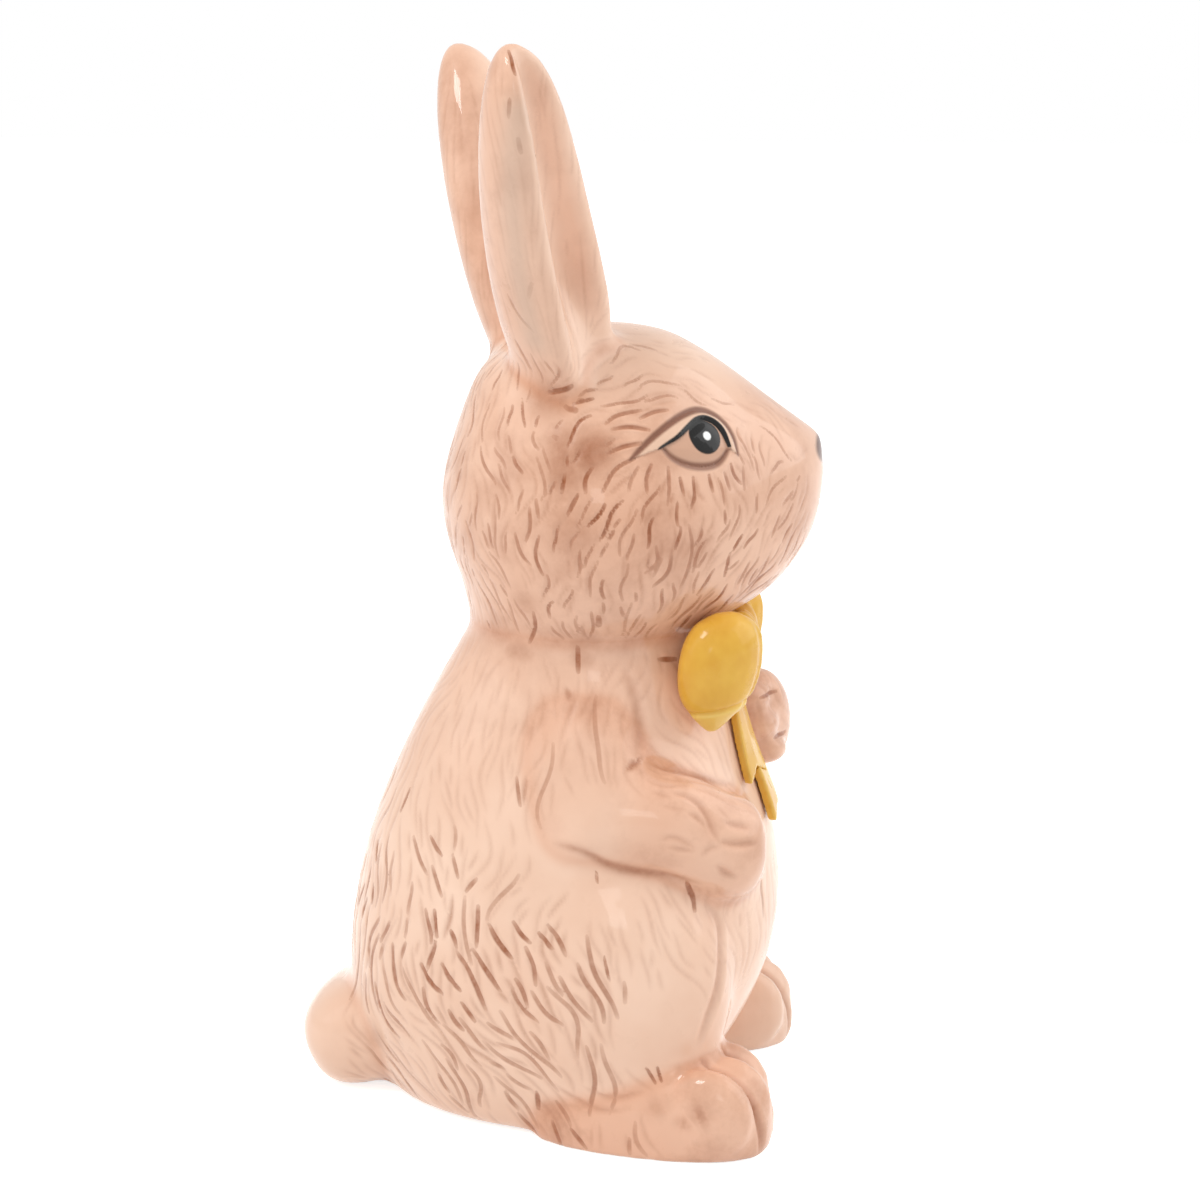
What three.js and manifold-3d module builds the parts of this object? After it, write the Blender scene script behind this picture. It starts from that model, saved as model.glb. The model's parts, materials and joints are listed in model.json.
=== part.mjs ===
// Sitting rabbit figurine of slip-cast earthenware, in millimetres, +Z up, its body facing -Y.
import * as THREE from "three";
import { mergeVertices } from "three/addons/utils/BufferGeometryUtils.js";
import Module from "manifold-3d";

// Casting
const WALL = 4.5; // thickness of the cast wall
const SLIP_JOINT = 0.3; // layer of joining slip between two castings
const DRAIN_HOLE_DIAMETER = 16;

// Body
const BODY_HEIGHT = 116.5; // floor to neck joint
const BODY_WIDTH = 90;
const BODY_BACK = 58.5; // neck axis to rump
const BODY_FRONT = 46; // neck axis to belly
const NECK_DIAMETER = 55;
const HAUNCH_LENGTH = 62;
const HAUNCH_HEIGHT = 74;
const HAUNCH_THICKNESS = 40;
const HAUNCH_BULGE = 3; // side of the body to side of the haunch

// Head
const HEAD_HEIGHT = 69.8; // neck joint to crown
const HEAD_WIDTH = 75;
const HEAD_BACK = 34.5; // neck axis to back of head
const MUZZLE_REACH = 57; // neck axis to muzzle
const HEAD_TURN = 20; // degrees, towards the left
const EYE_LENGTH = 25;
const EYE_HEIGHT = 13;
const EYE_RELIEF = 1.2; // cheek to middle of eye
const NOSE_WIDTH = 10;
const NOSE_HEIGHT = 7;
const NOSE_RELIEF = 0.9; // muzzle to tip of nose

// Ears
const EAR_LENGTH = 78;
const EAR_WIDTH = 25.2;
const EAR_DEPTH = 21;
const EAR_THICKNESS = 6.5;
const EAR_CUP_DEPTH = 5.5; // rims to the bottom of the cup
const EAR_SPACING = 26; // between the roots
const EAR_SPLAY = 17; // degrees, outwards
const EAR_LEAN = 11; // degrees, backwards
const EAR_TURN = 41; // degrees, opening towards the side

// Arms
const UPPER_ARM_WIDTH = 27;
const FOREARM_WIDTH = 24;
const PAW_WIDTH = 25;
const ARM_THICKNESS = 22;
const SHOULDER_STANDOUT = 3; // side of the body to outside of the shoulder
const ELBOW_STANDOUT = 8; // side of the body to outside of the elbow
const RIGHT_PAW_DROP = 47.5; // neck joint to middle of paw
const LEFT_PAW_DROP = 28.5; // neck joint to middle of paw
const RIGHT_PAW_ANGLE = 35; // degrees, from the front
const LEFT_PAW_ANGLE = 30; // degrees, from the front
const RIGHT_PAW_STANDOUT = 13; // belly to back of paw
const LEFT_PAW_STANDOUT = 19; // belly to back of paw
const FINGER_WIDTH = 8;

// Feet
const FOOT_LENGTH = 60;
const FOOT_WIDTH = 29;
const FOOT_HEIGHT = 23;
const FOOT_INSET = 17.7; // side of the body to middle of heel
const FOOT_SPLAY = 8; // degrees, toes outwards
const TOE_STANDOUT = 2; // belly to toe tips
const TOE_LENGTH = 22;

// Tail
const TAIL_WIDTH = 40;
const TAIL_LENGTH = 34;
const TAIL_HEIGHT = 27;
const TAIL_STANDOUT = 12; // rump to tail tip
const TAIL_TILT = 24; // degrees, top backwards

// Bow
const BOW_DROP = 3.5; // neck joint to middle of knot
const KNOT_WIDTH = 13;
const KNOT_HEIGHT = 14;
const KNOT_THICKNESS = 12;
const LOOP_HEIGHT = 27.5;
const LOOP_WIDTH = 20.5;
const LOOP_THICKNESS = 14;
const LOOP_RISE = 10; // middle of knot to top of loop
const RIGHT_LOOP_SPREAD = 20; // middle of knot to middle of loop, around the chest
const LEFT_LOOP_SPREAD = 25; // middle of knot to middle of loop, around the chest
const LOOP_STANDOUT = 10; // chest to middle of loop
const LOOP_TURN = 20; // degrees, loops towards the sides
const LOOP_LEAN = 8; // degrees, tips towards the sides
const RIBBON_WIDTH = 13;
const RIBBON_THICKNESS = 2.2;
const RIBBON_FORK = 3; // depth of the swallow-tail cut
const RIGHT_RIBBON_LENGTH = 28;
const LEFT_RIBBON_LENGTH = 38.5;
const RIGHT_RIBBON_SWING = 7.5; // degrees, end from the front
const LEFT_RIBBON_SWING = 2; // degrees, end from the front

const PINK_GLAZE = new THREE.MeshStandardMaterial({ color: 0xecc7b0, roughness: 0.22, metalness: 0 });
const YELLOW_GLAZE = new THREE.MeshStandardMaterial({ color: 0xdca546, roughness: 0.2, metalness: 0 });

const wasm = await Module();
wasm.setup();

const { degToRad, radToDeg, lerp, smoothstep } = THREE.MathUtils;
const evenShares = (count) => Array.from({ length: count + 1 }, (_, i) => i / count);
const fullTurn = (count) => Array.from({ length: count }, (_, i) => (2 * Math.PI * i) / count);

/** Closed surface through rings of points, each end drawn to the middle of its ring. */
function skin(rings) {
  const sides = rings[0].length;
  const middle = (ring) => ring.reduce((sum, p) => sum.add(p), new THREE.Vector3()).divideScalar(sides);
  const points = rings.flat();
  const last = (rings.length - 1) * sides;
  const start = points.push(middle(rings[0])) - 1;
  const end = points.push(middle(rings.at(-1))) - 1;
  const faces = [];
  for (let side = 0; side < sides; side++) {
    const next = (side + 1) % sides;
    faces.push(start, next, side, end, last + side, last + next);
    for (let row = 0; row < last; row += sides) {
      faces.push(row + side, row + next, row + sides + side);
      faces.push(row + next, row + sides + next, row + sides + side);
    }
  }
  const geometry = new THREE.BufferGeometry().setFromPoints(points);
  geometry.setIndex(faces);
  return geometry;
}

/** Positions alone, with the doubled points along seams merged. */
function closed(geometry) {
  const bare = geometry.clone();
  bare.deleteAttribute("normal");
  bare.deleteAttribute("uv");
  return mergeVertices(bare, 1e-4);
}

/** The same surface moved outwards by a distance. */
function grown(geometry, distance) {
  const moved = closed(geometry);
  moved.computeVertexNormals();
  const { position, normal } = moved.attributes;
  const point = new THREE.Vector3();
  const out = new THREE.Vector3();
  for (let i = 0; i < position.count; i++) {
    out.fromBufferAttribute(normal, i);
    point.fromBufferAttribute(position, i).addScaledVector(out, distance);
    position.setXYZ(i, ...point);
  }
  return moved;
}

/** Geometry as a solid that can be joined and cut. */
function solid(geometry) {
  const { index, attributes } = closed(geometry);
  const vertProperties = attributes.position.array;
  const triVerts = Uint32Array.from(index.array);
  return new wasm.Manifold(new wasm.Mesh({ numProp: 3, vertProperties, triVerts }));
}

/** One solid from several forms, all grown by a distance. */
const joined = (forms, distance = 0) =>
  forms.map((form) => solid(grown(form, distance))).reduce((sum, form) => sum.add(form));

/** Main body of a solid after its neighbours' seats are cut away. */
const clearOf = (form, seats) =>
  seats
    .reduce((rest, seat) => rest.subtract(seat), form)
    .decompose()
    .reduce((main, body) => (body.volume() > main.volume() ? body : main));

/** Named mesh of a solid. */
function piece(name, body, material) {
  const { vertProperties, triVerts } = body.simplify(0.04).getMesh();
  const geometry = new THREE.BufferGeometry();
  geometry.setAttribute("position", new THREE.BufferAttribute(vertProperties, 3));
  geometry.setIndex(new THREE.BufferAttribute(triVerts, 1));
  geometry.computeVertexNormals();
  const mesh = new THREE.Mesh(geometry, material);
  mesh.name = name;
  return mesh;
}

/** Ball about the origin with full sizes x, y, z; a fullness above 2 squares it off. */
function ball(x, y, z, across, down, fullness = 2) {
  const geometry = closed(new THREE.SphereGeometry(1, across, down));
  const { position } = geometry.attributes;
  const point = new THREE.Vector3();
  for (let i = 0; i < position.count; i++) {
    point.fromBufferAttribute(position, i);
    const spread = point.toArray().reduce((sum, value) => sum + Math.abs(value) ** fullness, 0);
    position.setXYZ(i, ...point.multiplyScalar(0.5 / spread ** (1 / fullness)));
  }
  return geometry.scale(x, y, z);
}

/** Smooth change of several values over shares from 0 to 1. */
function track(stations) {
  const shares = stations.map(([share]) => share);
  const values = stations.flatMap(([, ...rest]) => rest);
  const count = stations[0].length - 1;
  const curve = new THREE.CubicInterpolant(shares, values, count, new Float32Array(count));
  return (share) => [...curve.evaluate(share)];
}

/** Point of an egg-shaped section, at an angle from the front towards the left. */
function eggPoint([back, front, side, narrowing = 0], angle, z) {
  const ahead = Math.cos(angle);
  const depth = ahead > 0 ? -front * ahead : -back * ahead;
  const taper = 1 - narrowing * Math.max(ahead, 0) ** 2;
  return new THREE.Vector3(side * Math.sin(angle) * taper, depth, z);
}

/** Upright form through egg-shaped sections. */
const eggLoft = (sections, height, shares, sides) =>
  skin(
    shares.map((share) => {
      const section = sections(share);
      return fullTurn(sides).map((angle) => eggPoint(section, angle, height * share));
    }),
  );

/** Limb through stops, each with a place, a width and a thickness, lying flat against the body. */
function limb(stops) {
  const path = track(
    stops.map(({ at, wide, thick }, i) => [i / (stops.length - 1), at.x, at.y, at.z, wide, thick]),
  );
  const rings = evenShares(11).map((share) => {
    const [x, y, z, wide, thick] = path(share);
    const ahead = new THREE.Vector3(...path(Math.min(share + 0.02, 1)));
    const behind = new THREE.Vector3(...path(Math.max(share - 0.02, 0)));
    const out = new THREE.Vector3(x, y, 0).normalize();
    const across = new THREE.Vector3().crossVectors(ahead.sub(behind), out).normalize();
    const rounding = Math.sqrt(1 - 0.94 * Math.abs(2 * share - 1) ** 9);
    return fullTurn(16).map((angle) =>
      new THREE.Vector3(x, y, z)
        .addScaledVector(out, (rounding * thick * Math.cos(angle)) / 2)
        .addScaledVector(across, (rounding * wide * Math.sin(angle)) / 2),
    );
  });
  return skin(rings);
}

// Body: share of height, then back, front and side
const NECK_RADIUS = NECK_DIAMETER / 2;
const bodySection = track(
  [
    [0, 0.84, 0.54, 0.78],
    [0.07, 0.91, 0.64, 0.87],
    [0.18, 0.98, 0.82, 0.96],
    [0.3, 1, 0.95, 1],
    [0.46, 0.955, 1, 0.98],
    [0.6, 0.875, 0.95, 0.915],
    [0.75, 0.745, 0.81, 0.79],
    [0.88, 0.61, 0.71, 0.68],
  ]
    .map(([share, back, front, side]) => [
      share,
      back * BODY_BACK,
      front * BODY_FRONT,
      (side * BODY_WIDTH) / 2,
    ])
    .concat([[1, NECK_RADIUS, NECK_RADIUS, NECK_RADIUS]]),
);

/** Point beside the body, at a height, an angle from the front towards the left and a distance out. */
function besideBody(height, angle, out) {
  const point = eggPoint(bodySection(height / BODY_HEIGHT), degToRad(angle), height);
  const away = new THREE.Vector3(point.x, point.y, 0).normalize();
  return point.addScaledVector(away, out);
}

/** Torso and haunches, with a count of rings and sides. */
function bodyForms(rings, sides) {
  const torso = eggLoft(bodySection, BODY_HEIGHT, evenShares(rings), sides);
  const haunchSide = (BODY_WIDTH - HAUNCH_THICKNESS) / 2 + HAUNCH_BULGE;
  const haunches = [-1, 1].map((side) =>
    ball(HAUNCH_THICKNESS, HAUNCH_LENGTH, HAUNCH_HEIGHT, sides / 2 + 2, rings / 2 + 3).translate(
      side * haunchSide,
      -0.14 * BODY_FRONT,
      HAUNCH_HEIGHT / 2,
    ),
  );
  return [torso, ...haunches];
}

const floor = solid(new THREE.BoxGeometry(1000, 1000, 100).translate(0, 0, -50));
const bodySeat = joined(bodyForms(18, 36), SLIP_JOINT);

const [baseBack, baseFront] = bodySection(0);
const drainRadius = DRAIN_HOLE_DIAMETER / 2;
const drain = new THREE.CylinderGeometry(drainRadius, drainRadius, 4 * WALL, 24);
drain.rotateX(Math.PI / 2).translate(0, (baseBack - baseFront) / 2, WALL);
const throat = new THREE.CylinderGeometry(NECK_RADIUS - WALL, NECK_RADIUS - WALL, 6 * WALL, 32);
throat.rotateX(Math.PI / 2);
const bodyShell = joined(bodyForms(18, 36))
  .subtract(floor)
  .subtract(joined(bodyForms(10, 20), -WALL))
  .subtract(solid(drain))
  .subtract(solid(throat.clone().translate(0, 0, BODY_HEIGHT)));

// Head: share of height, then back, front, side and narrowing towards the nose
const CHIN_SHARE = 0.13;
const headSection = track(
  [
    [CHIN_SHARE, 0.86, 0.82, 0.9, 0.12],
    [0.26, 0.955, 0.94, 0.98, 0.2],
    [0.39, 1, 0.99, 1, 0.26],
    [0.5, 0.985, 1, 0.97, 0.28],
    [0.6, 0.93, 0.975, 0.91, 0.28],
    [0.73, 0.84, 0.77, 0.79, 0.2],
    [0.86, 0.72, 0.555, 0.61, 0.1],
    [0.94, 0.52, 0.4, 0.41, 0],
    [0.985, 0.23, 0.25, 0.2, 0],
    [1, 0.08, 0.1, 0.06, 0],
  ].map(([share, back, front, side, narrowing]) => [
    share,
    back * HEAD_BACK,
    front * MUZZLE_REACH,
    (side * HEAD_WIDTH) / 2,
    narrowing,
  ]),
);
const neckSection = [NECK_RADIUS, NECK_RADIUS, NECK_RADIUS, 0];
const chinSection = headSection(CHIN_SHARE);
const jawSection = (share) =>
  chinSection.map((value, i) => lerp(neckSection[i], value, (share / CHIN_SHARE) ** 0.6));
const headProfile = (share) => (share > CHIN_SHARE ? headSection(share) : jawSection(share));
const onHead = (share, angle) => eggPoint(headProfile(share), degToRad(angle), share * HEAD_HEIGHT);

const cheekShares = evenShares(14).map((share) => lerp(CHIN_SHARE, 0.94, share));
const skull = eggLoft(headProfile, HEAD_HEIGHT, [0, 0.04, 0.09, ...cheekShares, 0.97, 0.99, 1], 36);
const hollow = eggLoft(headProfile, HEAD_HEIGHT, [0, 0.09, 0.2, 0.35, 0.5, 0.65, 0.8, 0.9, 0.97, 1], 20);
const eyes = [-1, 1].map((side) => {
  const along = onHead(0.66, side * 70).sub(onHead(0.66, side * 60));
  const bulge = ball(4 * EYE_RELIEF, EYE_LENGTH, EYE_HEIGHT, 20, 12);
  bulge.translate(-side * EYE_RELIEF, 0, 0).rotateY(degToRad(side * -26));
  return bulge.rotateZ(Math.atan2(-along.x, along.y)).translate(...onHead(0.66, side * 65));
});
const nose = ball(NOSE_WIDTH, NOSE_HEIGHT, NOSE_HEIGHT, 16, 10);
nose.translate(...onHead(0.58, 0)).translate(0, NOSE_HEIGHT / 2 - NOSE_RELIEF, 0);
const headShell = joined([skull, nose, ...eyes])
  .subtract(solid(grown(hollow, -WALL)))
  .subtract(solid(throat));
const headSeat = solid(grown(skull, SLIP_JOINT));

const head = new THREE.Group();
head.name = "head";
head.position.z = BODY_HEIGHT + SLIP_JOINT;
head.rotation.z = degToRad(HEAD_TURN);
head.updateMatrix();
const chinSeat = solid(grown(skull, SLIP_JOINT).applyMatrix4(head.matrix));

// Ears: share of length, then width and depth
const earSection = track([
  [0, 0.88, 0.88],
  [0.2, 1, 1],
  [0.45, 0.98, 0.95],
  [0.7, 0.86, 0.79],
  [0.87, 0.65, 0.58],
  [0.96, 0.4, 0.36],
  [1, 0.16, 0.14],
]);

/** Cupped ear along +Z, open towards -Y, its root reaching below the origin. */
function earForm() {
  const arc = evenShares(9).map((share) => Math.PI * (share - 0.5));
  const rings = [-0.16, 0, 0.1, 0.2, 0.3, 0.4, 0.5, 0.6, 0.7, 0.79, 0.87, 0.93, 0.97, 1].map((share) => {
    const [wide, deep] = earSection(Math.max(share, 0));
    const halfWidth = (wide * EAR_WIDTH) / 2;
    const depth = deep * EAR_DEPTH;
    const thickness = Math.min(EAR_THICKNESS, 0.6 * halfWidth, 0.6 * depth);
    const rimY = 0.12 * EAR_DEPTH * Math.sin(Math.PI * Math.max(share, 0)) - depth / 2;
    const cup = smoothstep(share, 0, 0.35) * Math.min(deep * EAR_CUP_DEPTH, depth - thickness);
    const z = share * EAR_LENGTH;
    const outer = (angle) =>
      new THREE.Vector3(halfWidth * Math.sin(angle), rimY + depth * Math.cos(angle), z);
    const inner = (angle) =>
      new THREE.Vector3((halfWidth - thickness) * Math.sin(angle), rimY + cup * Math.cos(angle), z);
    const rim = (side) => new THREE.Vector3(side * (halfWidth - thickness / 2), rimY - thickness / 3, z);
    return [...arc.toReversed().map(outer), rim(-1), ...arc.map(inner), rim(1)];
  });
  return skin(rings);
}

const [rightEar, leftEar] = [-1, 1].map((side) => {
  const form = earForm();
  form.rotateZ(degToRad(side * EAR_TURN));
  form.rotateX(degToRad(-EAR_LEAN));
  form.rotateY(degToRad(side * EAR_SPLAY));
  form.translate((side * EAR_SPACING) / 2, 0.3 * HEAD_BACK, 0.85 * HEAD_HEIGHT);
  return clearOf(solid(form), [headSeat]);
});

// Arms
/** Arm and fingers of one side, the paw at a height, an angle from the front and a distance out. */
function armForms(side, pawHeight, pawAngle, pawOut) {
  const at = (height, angle, out) => besideBody(height, side * angle, out - ARM_THICKNESS / 2);
  const elbowHeight = 0.68 * BODY_HEIGHT;
  const wristHeight = lerp(elbowHeight, pawHeight, 0.75);
  const upperOut = (SHOULDER_STANDOUT + ELBOW_STANDOUT) / 2;
  const foreOut = (ELBOW_STANDOUT + pawOut) / 2;
  const tipAngle = pawAngle - 7;
  const tipOut = pawOut - 3;
  const upperArm = limb([
    { at: at(0.91 * BODY_HEIGHT, 86, SHOULDER_STANDOUT), wide: 0.8 * UPPER_ARM_WIDTH, thick: ARM_THICKNESS },
    { at: at(0.8 * BODY_HEIGHT, 85, upperOut), wide: UPPER_ARM_WIDTH, thick: ARM_THICKNESS },
    { at: at(elbowHeight, 79, ELBOW_STANDOUT), wide: UPPER_ARM_WIDTH, thick: ARM_THICKNESS },
    { at: at(elbowHeight - 0.35 * FOREARM_WIDTH, 76, upperOut), wide: FOREARM_WIDTH, thick: ARM_THICKNESS },
  ]);
  const forearm = limb([
    { at: at(elbowHeight, 93, upperOut), wide: 0.9 * FOREARM_WIDTH, thick: ARM_THICKNESS },
    { at: at(elbowHeight, 76, ELBOW_STANDOUT), wide: FOREARM_WIDTH, thick: ARM_THICKNESS },
    { at: at(lerp(elbowHeight, pawHeight, 0.3), 56, foreOut), wide: FOREARM_WIDTH, thick: ARM_THICKNESS },
    { at: at(wristHeight, pawAngle + 9, pawOut), wide: FOREARM_WIDTH, thick: 0.9 * ARM_THICKNESS },
    { at: at(pawHeight, pawAngle, pawOut), wide: PAW_WIDTH, thick: 0.8 * ARM_THICKNESS },
    { at: at(pawHeight, tipAngle, tipOut), wide: PAW_WIDTH, thick: 0.6 * ARM_THICKNESS },
  ]);
  const fingers = [-1, 0, 1].map((step) => {
    const tip = at(pawHeight + 0.85 * step * FINGER_WIDTH, tipAngle + 2 * Math.abs(step), tipOut);
    return ball(1.7 * FINGER_WIDTH, 1.5 * FINGER_WIDTH, FINGER_WIDTH, 12, 8).translate(...tip);
  });
  return [upperArm, forearm, ...fingers];
}

const bothArms = [
  armForms(-1, BODY_HEIGHT - RIGHT_PAW_DROP, RIGHT_PAW_ANGLE, RIGHT_PAW_STANDOUT),
  armForms(1, BODY_HEIGHT - LEFT_PAW_DROP, LEFT_PAW_ANGLE, LEFT_PAW_STANDOUT),
];
const [rightArm, leftArm] = bothArms.map((forms) => clearOf(joined(forms), [bodySeat, chinSeat]));

// Feet
const SOLE_MIDDLE = 6; // floor to widest part of the sole
const [rightFoot, leftFoot] = [-1, 1].map((side) => {
  const sole = ball(FOOT_WIDTH, FOOT_LENGTH, 2 * (FOOT_HEIGHT - SOLE_MIDDLE), 20, 12, 2.4);
  sole.translate(0, -FOOT_LENGTH / 2, SOLE_MIDDLE);
  const toes = [-1, 0, 1].map((step) =>
    ball(FOOT_WIDTH / 2.6, TOE_LENGTH, FOOT_HEIGHT, 12, 8).translate(
      (step * FOOT_WIDTH) / 3.2,
      TOE_LENGTH / 2 - FOOT_LENGTH + 2.5 * Math.abs(step),
      FOOT_HEIGHT / 2 - 1,
    ),
  );
  const forms = [sole, ...toes].map((form) =>
    form
      .rotateZ(degToRad(side * FOOT_SPLAY))
      .translate(side * (BODY_WIDTH / 2 - FOOT_INSET), FOOT_LENGTH - BODY_FRONT - TOE_STANDOUT, 0),
  );
  return clearOf(joined(forms), [floor, bodySeat]);
});

// Tail
const scut = ball(TAIL_WIDTH, TAIL_LENGTH, TAIL_HEIGHT, 20, 12, 2.7);
scut.rotateX(degToRad(-TAIL_TILT));
scut.translate(0, BODY_BACK + TAIL_STANDOUT - TAIL_LENGTH / 2, TAIL_HEIGHT / 2);
const tail = clearOf(solid(scut), [floor, bodySeat]);

// Bow
const bowHeight = BODY_HEIGHT - BOW_DROP;
const knotOut = KNOT_THICKNESS / 2;
const knotCentre = besideBody(bowHeight, 0, knotOut);
const knotForm = ball(KNOT_WIDTH, KNOT_THICKNESS, KNOT_HEIGHT, 16, 10).translate(...knotCentre);
const aroundChest = (length) => radToDeg(length / -knotCentre.y);

// Loops: share of height from the tip, then width and thickness
const loopSection = track([
  [0, 0.08, 0.16],
  [0.13, 0.5, 0.5],
  [0.27, 0.84, 0.8],
  [0.45, 1, 0.95],
  [0.65, 1, 1],
  [0.83, 0.88, 0.88],
  [0.95, 0.6, 0.55],
  [1, 0.28, 0.22],
]);

/** Full drop of one side, its tip down, and the neck that joins it to the knot. */
function loopForms(side, loopSpread) {
  const at = (spread, out) => besideBody(bowHeight, side * aroundChest(spread), out);
  const middle = at(loopSpread, LOOP_STANDOUT);
  const lean = -side * Math.tan(degToRad(LOOP_LEAN)) * LOOP_HEIGHT;
  const up = new THREE.Vector3(0, 0, 1);
  const out = new THREE.Vector3(middle.x, middle.y, 0).normalize();
  out.applyAxisAngle(up, degToRad(side * LOOP_TURN));
  const along = new THREE.Vector3().crossVectors(up, out);
  const rings = evenShares(12).map((share) => {
    const [wide, thick] = loopSection(share);
    const height = bowHeight + LOOP_RISE - (1 - share) * LOOP_HEIGHT;
    return fullTurn(16).map((angle) =>
      new THREE.Vector3(middle.x, middle.y, height)
        .addScaledVector(out, (thick * LOOP_THICKNESS * Math.cos(angle)) / 2)
        .addScaledVector(along, (wide * LOOP_WIDTH * Math.sin(angle)) / 2 + lean * (share - 0.5)),
    );
  });
  const halfway = lerp(knotOut, LOOP_STANDOUT, 0.4);
  const thick = 0.8 * KNOT_THICKNESS;
  const neck = limb([
    { at: at(KNOT_WIDTH / 3, knotOut), wide: 0.7 * KNOT_HEIGHT, thick: 0.9 * thick },
    { at: at(loopSpread / 2, halfway), wide: 0.9 * KNOT_HEIGHT, thick },
    { at: at(0.9 * loopSpread, 0.9 * LOOP_STANDOUT), wide: KNOT_HEIGHT, thick },
  ]);
  return [skin(rings), neck];
}

/** Swallow-tailed ribbon of one side, hanging down the chest from below the knot. */
function ribbonForm(side, length, swing) {
  const rings = evenShares(9).map((share) => {
    const height = bowHeight - KNOT_HEIGHT / 3 - share * length;
    const middle = side * lerp(3, swing, share);
    const halfAngle = aroundChest((RIBBON_WIDTH / 2) * lerp(0.5, 1, share));
    const notch = share === 1 ? RIBBON_FORK : 0;
    const low = -RIBBON_THICKNESS;
    const high = SLIP_JOINT + RIBBON_THICKNESS;
    return [
      besideBody(height, middle - halfAngle, low),
      besideBody(height + notch, middle, low),
      besideBody(height, middle + halfAngle, low),
      besideBody(height, middle + halfAngle, high),
      besideBody(height + notch, middle, high),
      besideBody(height, middle - halfAngle, high),
    ];
  });
  return skin(rings);
}

const bowSeats = [bodySeat, chinSeat, ...bothArms.map((forms) => joined(forms, SLIP_JOINT))];
const bothLoops = [loopForms(-1, RIGHT_LOOP_SPREAD), loopForms(1, LEFT_LOOP_SPREAD)];
const ribbonForms = [
  ribbonForm(-1, RIGHT_RIBBON_LENGTH, RIGHT_RIBBON_SWING),
  ribbonForm(1, LEFT_RIBBON_LENGTH, LEFT_RIBBON_SWING),
];
const knotSeat = solid(grown(knotForm, SLIP_JOINT));
const loopSeats = bothLoops.map((forms) => joined(forms, SLIP_JOINT));
const ribbonSeats = [...bowSeats, knotSeat, ...loopSeats];
const rightRibbonSeat = solid(grown(ribbonForms[0], SLIP_JOINT));
const knot = clearOf(solid(knotForm), bowSeats);
const rightLoop = clearOf(joined(bothLoops[0]), [...bowSeats, knotSeat]);
const leftLoop = clearOf(joined(bothLoops[1]), [...bowSeats, knotSeat, loopSeats[0]]);
const rightRibbon = clearOf(solid(ribbonForms[0]), ribbonSeats);
const leftRibbon = clearOf(solid(ribbonForms[1]), [...ribbonSeats, rightRibbonSeat]);

// Assembly
head.add(
  piece("head_shell", headShell, PINK_GLAZE),
  piece("right_ear", rightEar, PINK_GLAZE),
  piece("left_ear", leftEar, PINK_GLAZE),
);

const bow = new THREE.Group();
bow.name = "bow";
bow.add(
  piece("bow_knot", knot, YELLOW_GLAZE),
  piece("bow_right_loop", rightLoop, YELLOW_GLAZE),
  piece("bow_left_loop", leftLoop, YELLOW_GLAZE),
  piece("bow_right_ribbon", rightRibbon, YELLOW_GLAZE),
  piece("bow_left_ribbon", leftRibbon, YELLOW_GLAZE),
);

const figure = new THREE.Group();
figure.name = "figure";
figure.add(
  piece("body_shell", bodyShell, PINK_GLAZE),
  piece("right_arm", rightArm, PINK_GLAZE),
  piece("left_arm", leftArm, PINK_GLAZE),
  piece("right_foot", rightFoot, PINK_GLAZE),
  piece("left_foot", leftFoot, PINK_GLAZE),
  piece("tail", tail, PINK_GLAZE),
  head,
  bow,
);

const rabbit = new THREE.Group();
rabbit.name = "rabbit";
rabbit.add(figure);
const middle = new THREE.Box3().setFromObject(rabbit, true).getCenter(new THREE.Vector3());
figure.position.set(-middle.x, -middle.y, 0);

export default rabbit;
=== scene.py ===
"""Glazed rabbit figurine with a bow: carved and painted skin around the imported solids."""

import json
import logging
import math
import random
from collections.abc import Callable, Sequence
from dataclasses import astuple, dataclass, field
from enum import Enum
from itertools import product
from typing import ClassVar

import bmesh
import bpy
import numpy as np
from bpy.types import ID, Material, Mesh, Node, NodeSocket, Object, World
from mathutils import Matrix, Vector, noise
from mathutils.bvhtree import BVHTree
from mathutils.kdtree import KDTree

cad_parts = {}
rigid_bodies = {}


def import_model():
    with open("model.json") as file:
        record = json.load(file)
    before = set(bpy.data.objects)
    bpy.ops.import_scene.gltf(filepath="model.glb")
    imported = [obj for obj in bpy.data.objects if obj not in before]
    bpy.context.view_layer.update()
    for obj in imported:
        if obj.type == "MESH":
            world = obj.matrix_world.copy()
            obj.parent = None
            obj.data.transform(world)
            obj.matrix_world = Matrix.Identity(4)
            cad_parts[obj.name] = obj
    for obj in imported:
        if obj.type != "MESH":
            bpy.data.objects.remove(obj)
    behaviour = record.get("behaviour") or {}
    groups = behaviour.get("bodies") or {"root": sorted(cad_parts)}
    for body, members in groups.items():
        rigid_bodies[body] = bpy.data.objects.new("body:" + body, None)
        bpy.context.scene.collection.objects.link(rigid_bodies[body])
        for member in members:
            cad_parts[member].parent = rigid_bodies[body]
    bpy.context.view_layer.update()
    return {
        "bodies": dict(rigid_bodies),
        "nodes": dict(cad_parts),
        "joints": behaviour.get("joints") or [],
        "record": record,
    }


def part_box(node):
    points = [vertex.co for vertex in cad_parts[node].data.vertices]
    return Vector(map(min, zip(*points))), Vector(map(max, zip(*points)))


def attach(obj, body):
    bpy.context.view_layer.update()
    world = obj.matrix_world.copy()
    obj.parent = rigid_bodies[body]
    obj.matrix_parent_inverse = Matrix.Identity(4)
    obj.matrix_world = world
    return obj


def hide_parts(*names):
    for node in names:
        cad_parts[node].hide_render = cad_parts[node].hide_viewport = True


log = logging.getLogger("bunny")

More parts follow.
